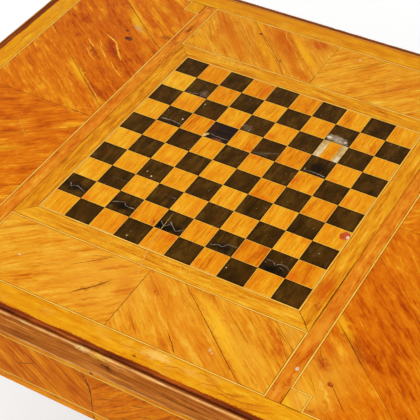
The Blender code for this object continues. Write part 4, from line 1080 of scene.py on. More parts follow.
stained_and_shaded(panel_wood, [
    ColourPatch((-1.2, -6.9), (2.6, 1.7), (244, 168, 50), 0.6),
    # The broad deeper orange over the back panel is painted shade, darker towards the back.
    ColourPatch((-2.6, 7.2), (3.6, 1.9), (212, 108, 8), 0.6),
    ColourPatch((3.3, -7.0), (2.6, 0.32), (252, 188, 40), 0.95, -39),
    ColourPatch((1.6, -7.1), (2.2, 0.8), (230, 132, 24), 0.6, -39),
    ColourPatch((4.95, -6.45), (0.75, 0.11), (212, 98, 16), 0.95, -38),
    ColourPatch((5.3, -6.8), (0.3, 0.15), (206, 88, 14), 0.95, -60),
    ColourPatch((5.3, -6.05), (0.6, 0.3), (220, 142, 40), 0.6, -39),
    ColourPatch((4.3, -7.3), (1.5, 0.5), (240, 172, 44), 0.6, -39),
    ColourPatch((3.4, -8.1), (1.4, 0.35), DEEP_ORANGE, 0.6, -39),
    ColourPatch((0.7, -6.55), (0.3, 0.14), (206, 92, 20), 0.7, -50),
    ColourPatch((-1.3, -7.4), (0.9, 0.12), RUST, 0.6, 48), ColourPatch((-0.3, -6.9), (0.5, 0.6), DEEP_ORANGE, 0.5, 40),
    ColourPatch((-2.35, 6.75), (1.9, 0.26), (250, 176, 22), 0.7, -45),
    ColourPatch((-1.1, 7.55), (1.7, 0.26), (252, 176, 22), 1.0, -45),
    ColourPatch((-2.1, 7.85), (1.5, 0.5), (206, 88, 4), 0.95, -45),
    ColourPatch((-0.75, 8.3), (0.8, 0.55), (202, 84, 6), 0.9),
    ColourPatch((-4.9, 7.9), (1.5, 0.45), (208, 92, 6), 0.85, -45),
    ColourPatch((-0.5, 6.1), (0.7, 0.3), (206, 92, 8), 0.85, -20),
    ColourPatch((-3.9, 6.9), (1.6, 0.3), (222, 118, 8), 0.8, -45),
    ColourPatch((-5.2, 6.2), (0.6, 0.35), (246, 170, 26), 0.8),
    ColourPatch((-3.5, 8.3), (0.9, 0.22), (250, 170, 20), 0.8, -45),
    ColourPatch((-4.3, 8.55), (0.9, 0.14), (242, 160, 22), 0.7, -45),
    ColourPatch((-1.66, 6.55), (0.16, 0.1), RUST, 0.8, 40), ColourPatch((-3.22, 7.85), (0.1, 0.08), RUST, 0.7),
    ColourPatch((0.5, 6.9), (0.8, 0.14), YELLOW, 0.8, 48), ColourPatch((3.5, 7.4), (1.8, 0.3), DEEP_ORANGE, 0.6, 45),
    ColourPatch((-2.4, -6.05), (0.6, 0.1), (214, 108, 18), 0.8, 38),
    ColourPatch((-1.1, -6.3), (0.7, 0.1), (216, 112, 22), 0.7, 41),
    ColourPatch((-0.3, -7.0), (0.5, 0.1), (216, 112, 22), 0.8, 43),
    ColourPatch((-1.8, -6.25), (0.5, 0.07), (218, 118, 24), 0.7, 43),
    ColourPatch((-1.1, -7.85), (0.4, 0.08), (218, 118, 24), 0.7, 40),
    ColourPatch((0.6, -6.4), (0.5, 0.4), (218, 112, 24), 0.5, -40),
], solid=0.4)
stained_and_shaded(side_panel_wood, [
    ColourPatch((6.9, -7.1), (1.3, 1.9), (236, 158, 38), 0.8),
    ColourPatch((6.8, -7.9), (0.9, 0.7), (244, 174, 46), 0.8, -42),
    ColourPatch((-8.05, 6.1), (1.3, 0.3), (250, 178, 26), 0.95, -42),
    ColourPatch((-8.35, 2.12), (1.2, 0.26), (248, 174, 26), 0.95, -37),
    ColourPatch((-7.2, 5.55), (0.7, 0.22), (244, 164, 26), 0.7, -30),
    # The two dark red patches here, beside the raised edges in the left panel, are painted shadows.
    ColourPatch((-8.0, 4.0), (0.85, 0.2), (176, 60, 6), 1.0, -42),
    ColourPatch((-8.55, 3.55), (0.8, 0.16), (172, 62, 8), 0.95, -38),
    ColourPatch((-6.75, 1.35), (0.42, 0.26), (172, 62, 8), 0.9, -30),
    ColourPatch((-6.5, 5.78), (0.34, 0.16), (128, 72, 26), 0.8),
    ColourPatch((-7.85, 5.78), (0.42, 0.14), (214, 166, 100), 0.8, -30),
    ColourPatch((-6.5, 6.5), (0.25, 0.2), YELLOW, 0.7), ColourPatch((-7.2, 7.5), (1.3, 0.5), (200, 82, 4), 0.5, -40),
    ColourPatch((-7.9, 4.7), (1.6, 0.5), (210, 92, 4), 0.5, -37),
    ColourPatch((-6.5, 0.95), (0.35, 0.2), YELLOW, 0.8, -30),
    ColourPatch((-6.7, 4.6), (0.5, 0.3), (236, 150, 20), 0.7, -37),
    ColourPatch((-9.2, 5.4), (1.0, 0.5), (200, 84, 6), 0.7, -40),
    ColourPatch((-7.6, 0.3), (0.9, 0.2), YELLOW, 0.6, -38),
    ColourPatch((-6.5, -0.7), (0.6, 0.14), (250, 180, 30), 0.9, 38),
    ColourPatch((6.5, -4.9), (0.9, 0.26), YELLOW, 0.9, -42),
    ColourPatch((6.6, -6.62), (0.5, 0.26), (184, 70, 12), 1.0, -30),
    ColourPatch((7.19, -7.24), (0.16, 0.12), (168, 54, 12), 1.0), ColourPatch((7.1, -8.45), (0.3, 0.14), RUST, 0.6),
    ColourPatch((6.6, -7.5), (0.5, 0.3), YELLOW, 0.6, -40), ColourPatch((8.8, 5.0), (1.4, 0.3), YELLOW, 0.8, 40),
    ColourPatch((8.2, 1.6), (1.4, 0.3), RUST, 0.5, 38), ColourPatch((-8.4, -3.4), (1.5, 0.3), YELLOW, 0.8, 37),
    ColourPatch((6.5, -6.0), (0.6, 0.2), (206, 88, 12), 0.8, -42),
    ColourPatch((7.4, -8.0), (0.5, 0.06), (206, 116, 16), 0.8, -52),
    ColourPatch((6.9, -6.2), (0.7, 0.07), (214, 112, 14), 0.7, -42),
    ColourPatch((7.2, -7.6), (0.9, 0.06), (252, 196, 74), 0.7, -48),
], solid=0.35)
for side in OUTWARD:
    low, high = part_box(f"panel_{side}")
    long_side = side in ENDS
    shape = (box_outline if long_side else notched)(low.x, high.x, low.y, high.y)
    slope = math.radians(SLOPE[side])
    pick = random.Random(f"panel {side}")
    leaves = []
    for half in sawn(shape, [((0, 0), UPRIGHT if long_side else 0.0)]):
        right_way, back_way = (1 if along > 0 else -1 for along in middle_of(half))
        grain = math.atan2(back_way * math.sin(slope), right_way * math.cos(slope))
        cuts = []
        for x, y in LEAF_JOINTS[side]:
            if (x * right_way if long_side else y * back_way) > 0:
                cuts.append(((x * square, y * square), grain))
        for outline in sorted(sawn(half, cuts), key=lambda points: middle_of(points).length):
            place = found(pick)
            leaves.append(Leaf(outline, grain, pick.gauss(0, PANEL_TONE_DRIFT), place, right_way * back_way))
    inlaid(f"panel_{side}_veneer", leaves, panel_wood if long_side else side_panel_wood,
           replaced=[f"panel_{side}"])

# The border band and its corner squares: straight-grained golden veneer, mitred at the corners of the top.
# Its outer edge is rubbed through in waves to the reddish ground, and the squares have a slanting grain.
BORDER_SHADES = [(0.0, (204, 110, 4)), (0.35, (230, 144, 12)), (0.7, (242, 168, 22)), (1.0, (252, 196, 52))]
WORN_VARNISH = (250, 196, 84)
GROUND_ORANGE = (184, 90, 14)
GROUND_DARK = (84, 26, 6)
RUBBED_LEAST = 0.0002
RUBBED_MOST = 0.0031
CLOUD_SIZE = (0.035, 0.024)
WAVE_SIZE = (0.030, 0.030)
FIBRE_SIZE = (0.0022, 0.0022)
BORDER_TONE = 0.05
CORNER_TONE = 0.15
band_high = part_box("border_band")[1]


def rubbed_border(name):
    """Border veneer: clouded by worn varnish, stained in fibrous waves where it meets the dark lipping."""
    material = wood(name, BORDER_SHADES, band=0.012, streaks=0.30, edge=GLUE_LINE)
    tree, paint = coat_of(material)
    place = place_of(tree)
    cloud = spread(tree, patches(tree, place, *CLOUD_SIZE, 5.0, 0.6), 0.56, 0.72, 0.0, 0.30)
    paint = blended(tree, cloud, paint, WORN_VARNISH)
    parts = add(tree, "SeparateXYZ", {0: place}).outputs
    from_end = reckoned(tree, "SUBTRACT", band_high.x, reckoned(tree, "ABSOLUTE", parts["X"]))
    from_front = reckoned(tree, "ADD", parts["Y"], band_high.y)
    waves = spread(tree, patches(tree, place, *WAVE_SIZE, 2.0), 0.35, 0.65, RUBBED_LEAST, RUBBED_MOST)
    fibres = spread(tree, patches(tree, grain_of(tree), *FIBRE_SIZE, 3.0, 0.7), to_low=0.25, to_high=1.6)
    reach = reckoned(tree, "MULTIPLY", waves, fibres)
    share = reckoned(tree, "DIVIDE", reckoned(tree, "MINIMUM", from_end, from_front), reach)
    stain = spread(tree, share, 0.0, 1.1, 1.0, 0.0)
    paint = blended(tree, spread(tree, stain, 0.0, 0.6), paint, GROUND_ORANGE)
    return coated(material, blended(tree, spread(tree, stain, 0.6, 1.0), paint, GROUND_DARK))


border_wood = stained_and_shaded(rubbed_border("border_veneer"), [
    ColourPatch((2.1, -8.8), (0.7, 0.22), (252, 202, 100), 0.8, 4),
    ColourPatch((3.3, -8.85), (0.5, 0.2), (246, 182, 66), 0.6),
    # The broad deeper orange along the back border is painted shade, darker towards the back.
    ColourPatch((-3.0, 9.2), (8.0, 0.6), (222, 132, 12), 0.55),
    ColourPatch((4.1, -8.85), (0.5, 0.12), (212, 118, 14), 0.8, -20),
    ColourPatch((4.9, -9.0), (0.6, 0.1), (208, 116, 18), 0.8, 20),
    ColourPatch((1.5, -9.15), (0.14, 0.06), (150, 76, 10), 0.8, -30),
    ColourPatch((5.6, -9.1), (0.4, 0.16), (214, 124, 20), 0.7, 35),
    ColourPatch((0.9, -9.1), (0.8, 0.14), (250, 178, 24), 0.7),
    ColourPatch((6.74, -8.04), (0.6, 0.6), (246, 188, 80), 0.5),
])
field_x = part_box("stringing_right")[1].x
field_y = -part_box("stringing_front")[0].y
pick = random.Random(5)
bands = []
for leaf in mitred((field_x + JOINT, field_y + JOINT), (band_high.x, band_high.y)):
    bands.append(leaf._replace(tone=pick.uniform(-BORDER_TONE, BORDER_TONE), cut=found(pick)))
inlaid("border_band_veneer", bands, border_wood, replaced=["border_band"])
corners = []
for hand in HANDS:
    low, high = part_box(f"stringing_{hand}")
    for low_x in (low.x, high.x - NOTCH):
        for low_y in (low.y, high.y - NOTCH):
            outline = box_outline(*drawn_in((low_x, low_x + NOTCH, low_y, low_y + NOTCH), JOINT))
            slant = math.copysign(math.pi / 4, low_x * low_y)
            corners.append(Leaf(outline, slant, pick.uniform(0, CORNER_TONE), found(pick)))
inlaid("corner_squares", corners, border_wood)

# Cracks and opened joints: the veneer has shrunk, and some edges stand up beside a dark split, drawn as a
# pale painted highlight. The dark squares have wavy cracks filled with pale wax, and a painted glint crosses
# the streaked black square; frame, border and front panel have lines of brown figure.
# Each line in a table is a width in tenths of a millimetre and then a path in squares.
TENTH = 0.0001
SPLIT_TRIES = 3
SPLIT_CHANCE = 0.25
THINNEST = 0.08
SLOW_WAVE, QUICK_WAVE, QUICK_SHARE = 0.21, 0.73, 0.8
SWELL_WAVE, SWELL_MIDDLE = 0.4, 0.3
MARK_CUT = (0.37, 0.11)
SPLIT_ACROSS = (0.15, 0.85)
SPLIT_START = (0.08, 0.4)
SPLIT_LENGTH = (0.25, 0.5)
SPLIT_WIDTH = (0.0003, 0.0006)
SPLIT_LEAN = 0.02
MARK_STEP = 0.0012
FILM = 0.00004
CRACK_SHADES = [(0.0, (46, 18, 4)), (0.5, (84, 36, 8)), (1.0, (130, 64, 14))]
SPLIT_SHADES = [(0.0, (128, 56, 6)), (0.5, (170, 86, 10)), (1.0, (204, 120, 18))]
RIDGE_HIGHLIGHT_SHADES = [(0.0, (232, 150, 30)), (0.5, (246, 176, 52)), (1.0, (255, 206, 98))]
WAX_AND_GLINT_SHADES = [(0.0, (70, 58, 48)), (0.45, (136, 122, 108)), (1.0, (214, 200, 184))]
FIGURE_SHADES = [(0.0, (184, 96, 10)), (0.5, (204, 114, 16)), (1.0, (224, 140, 26))]
DARK_SPLITS = [
    (9, (5.68, -2.2), (5.69, -4.0), (5.68, -5.62)), (7, (5.06, -5.06), (5.38, -5.36), (5.66, -5.68)),
    (6, (0.0, -5.72), (0.01, -7.2), (0.0, -8.58)), (10, (-0.85, -6.75), (-1.2, -7.3), (-1.75, -7.9)),
    (7, (1.26, -5.71), (3.0, -7.12), (4.76, -8.55)), (9, (1.9, -7.85), (2.25, -8.17), (2.52, -8.5)),
    (5, (5.3, -6.62), (5.64, -7.05)), (5, (-1.25, -5.78), (-2.47, -6.88)),
    (7, (-3.98, 8.7), (-3.3, 8.0), (-2.2, 6.98), (-1.68, 6.48), (-1.15, 5.8)),
    (5, (-5.5, 7.6), (-5.1, 6.95), (-4.75, 6.5)), (7, (0.0, 5.76), (0.0, 6.4)),
    (7, (-9.4, 7.33), (-8.2, 6.4), (-7.2, 5.58), (-6.3, 4.95)),
    (7, (-9.3, 2.95), (-8.2, 2.1), (-7.2, 1.32), (-6.27, 0.62)),
    (5, (-7.9, 3.05), (-7.3, 2.5), (-6.9, 2.25), (-6.3, 1.97)),
    (10, (-8.4, 4.35), (-7.9, 3.98), (-7.35, 3.58)), (8, (-9.0, 3.95), (-8.45, 3.5), (-7.9, 3.12)),
    (4, (-7.2, 3.05), (-6.3, 2.75)), (8, (-7.2, 0.0), (-6.32, 0.0)),
    (8, (6.29, -4.82), (6.95, -5.43), (7.9, -6.3)), (5, (6.3, -6.15), (6.75, -6.72)),
    (5, (7.0, -7.0), (7.5, -7.5), (8.05, -8.05)), (6, (9.6, 4.4), (8.3, 3.1), (7.2, 2.0)),
    (6, (-10.6, -5.2), (-9.1, -4.0), (-7.4, -2.7)), (5, (2.2, 8.6), (1.3, 7.6), (0.9, 7.2)),
]
BROWN_SPLITS = [
    (6, (1.2, -6.0), (1.8, -6.42), (2.4, -6.85)), (8, (4.7, -6.0), (5.0, -6.3), (5.3, -6.62)),
    (6, (-2.2, -6.2), (-1.2, -5.85)), (5, (0.3, -6.1), (0.9, -6.7)), (5, (2.8, -5.9), (4.4, -7.1)),
    (4, (3.6, -5.85), (5.2, -7.3)), (6, (0.2, -7.5), (1.1, -8.4)), (4, (-0.9, -6.1), (-0.3, -5.9)),
    (6, (-4.6, 8.4), (-2.9, 6.6)), (5, (-5.3, 8.6), (-3.9, 6.9)), (6, (-3.1, 6.6), (-2.4, 6.0)),
    (6, (-9.3, 6.1), (-8.2, 5.2)), (6, (-8.3, 7.6), (-7.2, 6.8)), (5, (-7.2, 4.6), (-6.4, 4.0)),
    (5, (-7.0, 5.2), (-6.4, 4.6)), (6, (-8.9, 2.9), (-8.2, 2.4)), (5, (-7.4, 7.9), (-6.7, 7.3)),
    (5, (6.4, -5.2), (7.0, -5.8)), (5, (6.5, -7.2), (7.0, -7.8)), (6, (7.6, 5.0), (8.9, 6.2)),
    (5, (7.3, 2.9), (8.3, 3.8)), (6, (-9.6, -2.2), (-8.1, -1.1)), (6, (-10.2, -6.4), (-8.6, -5.2)),
    (6, (2.4, 6.2), (3.6, 7.5)), (5, (4.1, 6.4), (5.2, 7.7)), (6, (9.0, -6.4), (10.4, -7.6)),
]
BORDER_FIGURE = [
    (16, (3.6, -9.3), (3.85, -9.05), (4.25, -8.95), (4.6, -9.05), (4.9, -9.0), (5.3, -8.8)),
    (20, (4.2, -9.3), (4.5, -9.15), (4.9, -9.15), (5.3, -9.1), (5.7, -8.98), (6.2, -8.75)),
    (14, (5.0, -9.3), (5.5, -9.25), (5.9, -9.15), (6.4, -8.95)),
    (10, (2.4, -9.1), (2.9, -8.9), (3.4, -9.0)), (12, (3.4, -8.8), (3.8, -8.75), (4.2, -8.8)),
    (8, (0.2, -8.9), (0.9, -8.95), (1.5, -8.88)), (10, (-4.9, 9.1), (-3.6, 9.0), (-2.4, 9.15)),
    (10, (-1.9, 8.95), (-0.8, 9.1), (0.4, 9.0)), (12, (-9.5, 8.95), (-8.4, 9.1), (-7.4, 8.95)),
    (12, (7.4, 8.9), (8.6, 9.1), (9.8, 8.95)), (10, (-2.81, -6.38), (-2.4, -6.1), (-2.0, -5.75)),
    (10, (-1.55, -6.72), (-1.0, -6.24), (-0.57, -5.87)),
    (12, (-0.63, -7.31), (-0.3, -6.98), (0.02, -6.69)), (9, (-0.47, -7.94), (-0.07, -7.47)),
    (8, (-2.13, -6.56), (-1.45, -5.91)), (9, (-1.38, -8.09), (-0.84, -7.64)),
    (7, (0.71, -6.38), (1.2, -6.9), (1.86, -7.17)), (10, (1.44, -7.26), (1.9, -7.7), (2.38, -8.15)),
    (8, (0.27, -8.06), (0.6, -8.3), (0.94, -8.55)), (14, (11.5, -4.2), (11.6, -2.9), (11.45, -1.8)),
    (14, (11.6, 2.2), (11.45, 3.3), (11.62, 4.6)), (14, (-11.6, -5.1), (-11.45, -3.8), (-11.6, -2.6)),
    (14, (-11.5, 1.9), (-11.62, 3.1), (-11.45, 4.3)),
]
FRAME_FIGURE = [
    (6, (1.03, -6.38), (1.24, -6.72), (1.46, -7.02)), (6, (-5.3, -5.5), (-4.0, -5.46), (-2.6, -5.52)),
    (7, (-4.9, -5.28), (-3.4, -5.25), (-2.2, -5.3), (-1.2, -5.26)),
    (8, (-4.4, -5.38), (-3.2, -5.36), (-1.9, -5.4)), (5, (-3.6, -5.17), (-2.2, -5.15), (-0.9, -5.19)),
    (5, (-2.9, -5.46), (-1.6, -5.44), (-0.4, -5.5)), (5, (-0.6, -5.24), (0.9, -5.22), (2.2, -5.27)),
    (5, (0.2, -5.44), (1.8, -5.42), (3.3, -5.48)), (5, (2.6, -5.3), (3.8, -5.26), (4.7, -5.32)),
    (6, (-5.3, -4.2), (-5.26, -2.4), (-5.31, -0.8)), (5, (-5.48, -3.6), (-5.45, -1.2), (-5.5, 0.9)),
    (6, (-5.2, 0.2), (-5.23, 2.2), (-5.19, 3.8)), (5, (-5.5, 1.9), (-5.47, 3.4), (-5.52, 4.8)),
    (6, (5.25, -2.6), (5.28, -1.0), (5.24, 0.6)), (5, (5.5, -2.2), (5.47, 0.4)),
    (6, (5.43, -4.95), (5.46, -4.3)), (6, (5.3, 1.6), (5.27, 3.9)),
    (6, (-4.6, 5.3), (-3.1, 5.27), (-1.8, 5.32)), (6, (-2.2, 5.5), (-0.6, 5.46), (0.9, 5.5)),
    (6, (1.2, 5.25), (2.9, 5.28), (4.3, 5.24)),
]
# Each raised edge is a pale line, a painted highlight where the veneer stands up.
RAISED_EDGE_HIGHLIGHTS = [
    (6, (4.5, -5.78), (5.0, -6.15), (5.6, -6.62)),
    (15, (0.62, -6.6), (0.91, -6.95), (1.36, -7.4), (1.95, -7.83)),
    (9, (-2.55, 8.68), (-2.15, 8.1), (-1.3, 7.4)),
    (14, (-0.4, 6.85), (-0.1, 6.52), (0.0, 6.4), (0.1, 6.52), (0.5, 7.0), (0.95, 7.4)),
    (30, (-8.85, 4.86), (-8.5, 4.7), (-8.1, 4.5), (-7.8, 4.15), (-7.5, 3.8), (-7.2, 3.52)),
    (20, (-9.25, 4.2), (-9.0, 4.0), (-8.7, 3.8)), (26, (-8.5, 3.95), (-8.1, 3.6), (-7.8, 3.4)),
    (14, (-9.0, 3.7), (-8.6, 3.3), (-8.1, 3.0)), (14, (-8.75, 4.3), (-8.4, 3.95)),
    (16, (-7.6, 3.3), (-7.1, 2.9), (-6.6, 2.6)), (11, (-9.2, 7.3), (-8.2, 6.5), (-7.6, 6.05)),
    (10, (-7.9, 1.95), (-7.1, 1.35), (-6.4, 0.85)), (9, (-6.9, 7.2), (-6.5, 6.8)),
    (7, (-5.3, 6.95), (-4.95, 6.55)), (9, (-5.6, 5.62), (-3.4, 5.66), (-1.8, 5.6)),
    (8, (-7.1, 0.15), (-6.4, 0.45)), (8, (-7.2, -0.2), (-6.7, 0.0)),
    (11, (8.9, -2.1), (8.1, -1.4), (7.7, -1.1)),
]
WAVY_CRACKS_AND_GLINT = [
    (9, (-4.81, -3.46), (-4.67, -3.6), (-4.45, -3.5), (-4.28, -3.6), (-4.03, -3.65)),
    (9, (-2.95, -3.63), (-2.75, -3.5), (-2.57, -3.43), (-2.43, -3.57), (-2.28, -3.6), (-2.03, -3.58)),
    (5, (-2.85, -3.74), (-2.86, -3.9)),
    (9, (-0.93, -3.62), (-0.76, -3.78), (-0.62, -3.72), (-0.56, -3.56), (-0.47, -3.67)),
    (6, (-0.47, -3.67), (-0.36, -3.76), (-0.22, -3.82), (-0.1, -3.74), (-0.02, -3.6)),
    (7, (1.08, -3.84), (1.31, -3.7), (1.5, -3.71), (1.62, -3.5), (1.81, -3.55), (1.98, -3.51)),
    (7, (3.04, -3.52), (3.3, -3.49), (3.45, -3.64), (3.59, -3.49), (3.84, -3.53), (3.98, -3.66)),
    (5, (3.62, -3.66), (3.8, -3.72)), (10, (-3.94, 1.2), (-3.5, 1.24), (-3.04, 1.2)),
    # The first line here, across the streaked black square, is a painted glint drawn in the pale wax.
    (7, (-1.92, 1.26), (-1.5, 1.24), (-1.04, 1.22)), (10, (2.12, 1.12), (2.5, 1.14), (2.94, 1.12)),
    (10, (2.12, 1.1), (2.1, 1.25)), (4, (0.1, 1.1), (0.35, 1.16), (0.62, 1.3), (0.95, 1.45)),
    (7, (-0.66, 2.05), (-0.62, 2.25)), (9, (-0.97, 2.2), (-0.88, 2.36)),
    (14, (-0.62, -3.5), (-0.5, -3.62)), (7, (-3.18, 3.45), (-3.3, 3.12), (-3.24, 2.82)),
    (8, (-1.57, -4.52), (-1.59, -4.6)), (4, (-1.57, -2.43), (-1.04, -2.42)),
    (3, (-3.67, -2.54), (-3.03, -2.49)), (6, (-3.9, 3.02), (-3.4, 3.14)),
    (10, (2.02, 3.3), (2.4, 3.38), (2.9, 3.16)), (26, (2.04, 3.08), (2.3, 3.16), (2.96, 3.06)),
]
SQUARE_SPLITS = [
    (6, (0.4, -3.18), (0.41, -3.8)), (6, (0.63, -3.14), (0.62, -3.56)), (6, (0.52, -1.1), (0.45, -1.7)),
    (6, (1.42, -2.15), (1.38, -2.85)), (6, (1.56, -2.2), (1.55, -2.6)), (6, (4.48, -1.1), (4.47, -1.72)),
    (6, (-2.3, -2.14), (-2.31, -2.6)), (6, (3.55, -2.25), (3.54, -2.75)), (6, (-1.5, -1.1), (-1.47, -1.6)),
    (6, (1.33, -4.05), (1.32, -4.55)), (6, (1.7, -0.4), (1.69, -0.8)), (6, (3.22, -0.15), (3.24, -0.55)),
    (6, (-0.42, 3.9), (-0.44, 3.3)), (6, (-1.62, 0.85), (-1.6, 0.35)), (6, (2.22, 0.9), (2.2, 0.1)),
]


def trail(points, width, pick, wander=0.0, fade=0.15, uneven=0.7):
    """The outline of a wavering line along a path in metres, drawn out thin at both ends."""
    path = []
    for start, end in zip(points, points[1:]):
        count = max(2, round((Vector(end) - Vector(start)).length / MARK_STEP))
        path += [Vector(start).lerp(Vector(end), n / count) for n in range(count)]
    path.append(Vector(points[-1]))
    seed = pick.uniform(0, 50)
    left, right = [], []
    for index, spot in enumerate(path):
        run = (path[min(index + 1, len(path) - 1)] - path[max(index - 1, 0)]).normalized()
        across = Vector((-run.y, run.x))
        share = index / (len(path) - 1)
        wave = noise.noise((index * SLOW_WAVE, seed, 0.0))
        wave += QUICK_SHARE * noise.noise((index * QUICK_WAVE, seed, 3.0))
        swell = 1.0 + uneven * (noise.noise((index * SWELL_WAVE, seed, 7.0)) - SWELL_MIDDLE)
        half = width / 2 * max(THINNEST, min(1.0, share / fade, (1 - share) / fade)) * swell
        left.append(tuple(spot + across * (wave * wander + half)))
        right.append(tuple(spot + across * (wave * wander - half)))
    return left + right[::-1]


def in_squares(points):
    """The places in metres of points that are given in squares from the middle of the board."""
    return [(x * square, y * square) for x, y in points]


def trails(table, pick, *ways):
    """The outlines of a table's lines, which wander, fade and swell in the ways that a trail takes."""
    return [trail(in_squares(path), width * TENTH, pick, *ways) for width, *path in table]


def filmed(name, leaves, material, step, edge_width=0.0):
    """Leaves on the top's face as one thin film, a number of steps above the veneer."""
    lay(name, leaves, FILM, level(face_height + FILM * step), material, "top", edge_width)


def marked(name, outlines, material, step):
    """Lines drawn on the top's face, each cut from another place in the same wood."""
    cuts = [(index * MARK_CUT[0], index * MARK_CUT[1]) for index in range(len(outlines))]
    leaves = [Leaf(outline, 0.0, 0.0, cut) for outline, cut in zip(outlines, cuts)]
    filmed(name, leaves, material, step)


crack_wood = wood("open_crack", CRACK_SHADES, band=0.008, fleck=0.2, edge_strength=0.0)
split_wood = wood("split_grain", SPLIT_SHADES, band=0.008, fleck=0.2, edge_strength=0.0)
ridge_highlight_wood = wood("raised_edge_highlight", RIDGE_HIGHLIGHT_SHADES, band=0.008, streak=0.002, fleck=0.3, edge_strength=0.0)
figure_wood = wood("border_figure", FIGURE_SHADES, band=0.008, fleck=0.1, edge_strength=0.0)
pale_wax_and_glint = wood("pale_wax_and_glint", WAX_AND_GLINT_SHADES, band=0.004, streak=0.0012, streaks=0.6, fleck=0.3, gloss=(0.2, 0.35),
                edge_strength=0.0)
pick = random.Random(88)
marked("dark_splits", trails(DARK_SPLITS, pick, 0.0005, 0.15, 0.4), crack_wood, 1)
marked("brown_splits", trails(BROWN_SPLITS, pick, 0.0005, 0.2, 0.4), split_wood, 1)
marked("border_figure", trails(BORDER_FIGURE, pick, 0.0009, 0.3, 0.6), figure_wood, 1)
marked("frame_figure", trails(FRAME_FIGURE, pick, 0.0003, 0.3, 0.6), figure_wood, 1)
marked("raised_edge_highlights", trails(RAISED_EDGE_HIGHLIGHTS, pick, 0.0006), ridge_highlight_wood, 2)
marked("wavy_cracks_and_glint", trails(WAVY_CRACKS_AND_GLINT, pick, 0.0012, 0.06, 0.7), pale_wax_and_glint, 3)
splits = trails(SQUARE_SPLITS, pick, 0.0002, 0.2, 0.3)
for column in range(SQUARES):
    for row in range(SQUARES):
        if (column + row) % 2 or (column, row) == REPAIRED:
            continue
        for _ in range(SPLIT_TRIES):
            if pick.random() < SPLIT_CHANCE:
                x = column - SQUARES / 2 + pick.uniform(*SPLIT_ACROSS)
                y = row - SQUARES / 2 + pick.uniform(*SPLIT_START)
                end = (x + pick.gauss(0, SPLIT_LEAN), y + pick.uniform(*SPLIT_LENGTH))
                path = in_squares([(x, y), end])
                splits.append(trail(path, pick.uniform(*SPLIT_WIDTH), pick, 0.0002, 0.3, 0.3))
marked("split_grain", splits, split_wood, 1)

# Scratches: long fine scores from dragged counters and candlesticks, pale where they broke the varnish.
# Most of them run across the grain, and the longest crosses the board's frame into the front panel.
SCRATCH_SHADES = [(0.0, (206, 150, 66)), (0.5, (240, 194, 108)), (1.0, (255, 226, 150))]
SCRATCHES = [
    (6, (-0.77, -3.07), (-0.72, -4.11), (-0.6, -5.07), (-0.3, -6.05), (-0.16, -6.38)),
    (2.6, (0.6, 0.9), (0.66, 0.2)), (2.6, (3.4, 3.6), (3.9, 2.9)), (2.6, (-4.6, 1.7), (-4.1, 1.1)),
    (2.6, (3.2, -6.2), (2.9, -7.4)), (2.6, (7.4, 1.2), (8.6, -0.3), (9.1, -0.8)),
    (2.6, (-8.8, -1.2), (-7.5, -2.4)), (2.6, (-3.4, 7.4), (-2.9, 6.3)), (2.6, (2.4, 7.9), (3.0, 6.4)),
    (2.6, (1.0, -9.0), (2.1, -8.9)),
]
scratch_wood = wood("scratched_varnish", SCRATCH_SHADES, band=0.006, streak=0.0015, fleck=0.2,
                    edge_strength=0.0)
marked("scratches", trails(SCRATCHES, pick, 0.0002), scratch_wood, 3)

# Spots: red sealing wax, specks of pale wax, flecks of whitewash, painted white glints on the patched
# square, chips, and the small knots of tulipwood. Wax, whitewash and the glints stand on the varnish as thin
# crusts, knots lie in the veneer.
SPECKS = 90
SPECK_STEP = 2
SPECK_SIZES = (0.006, 0.015)
SPECK_STRETCH = (0.8, 1.6)
SPOT_CORNERS = 24
SPOT_LOBES = 1.6
SPOT_GRAIN = 0.5
SPOT_EDGE = 0.0002
LOWEST_SPOT = 2.5
SPOT_STEP = 0.8
RED_WAX_SHADES = [(0.0, (176, 62, 24)), (0.5, (206, 92, 42)), (1.0, (228, 132, 80))]
WHITEWASH_AND_GLINT_SHADES = [(0.0, (206, 166, 124)), (0.5, (230, 204, 172)), (1.0, (250, 238, 222))]
CHIP_SHADES = [(0.0, (214, 150, 62)), (0.5, (246, 204, 122)), (1.0, (255, 236, 182))]
KNOT_SHADES = [(0.0, (44, 16, 8)), (0.5, (92, 40, 20)), (1.0, (140, 70, 34))]
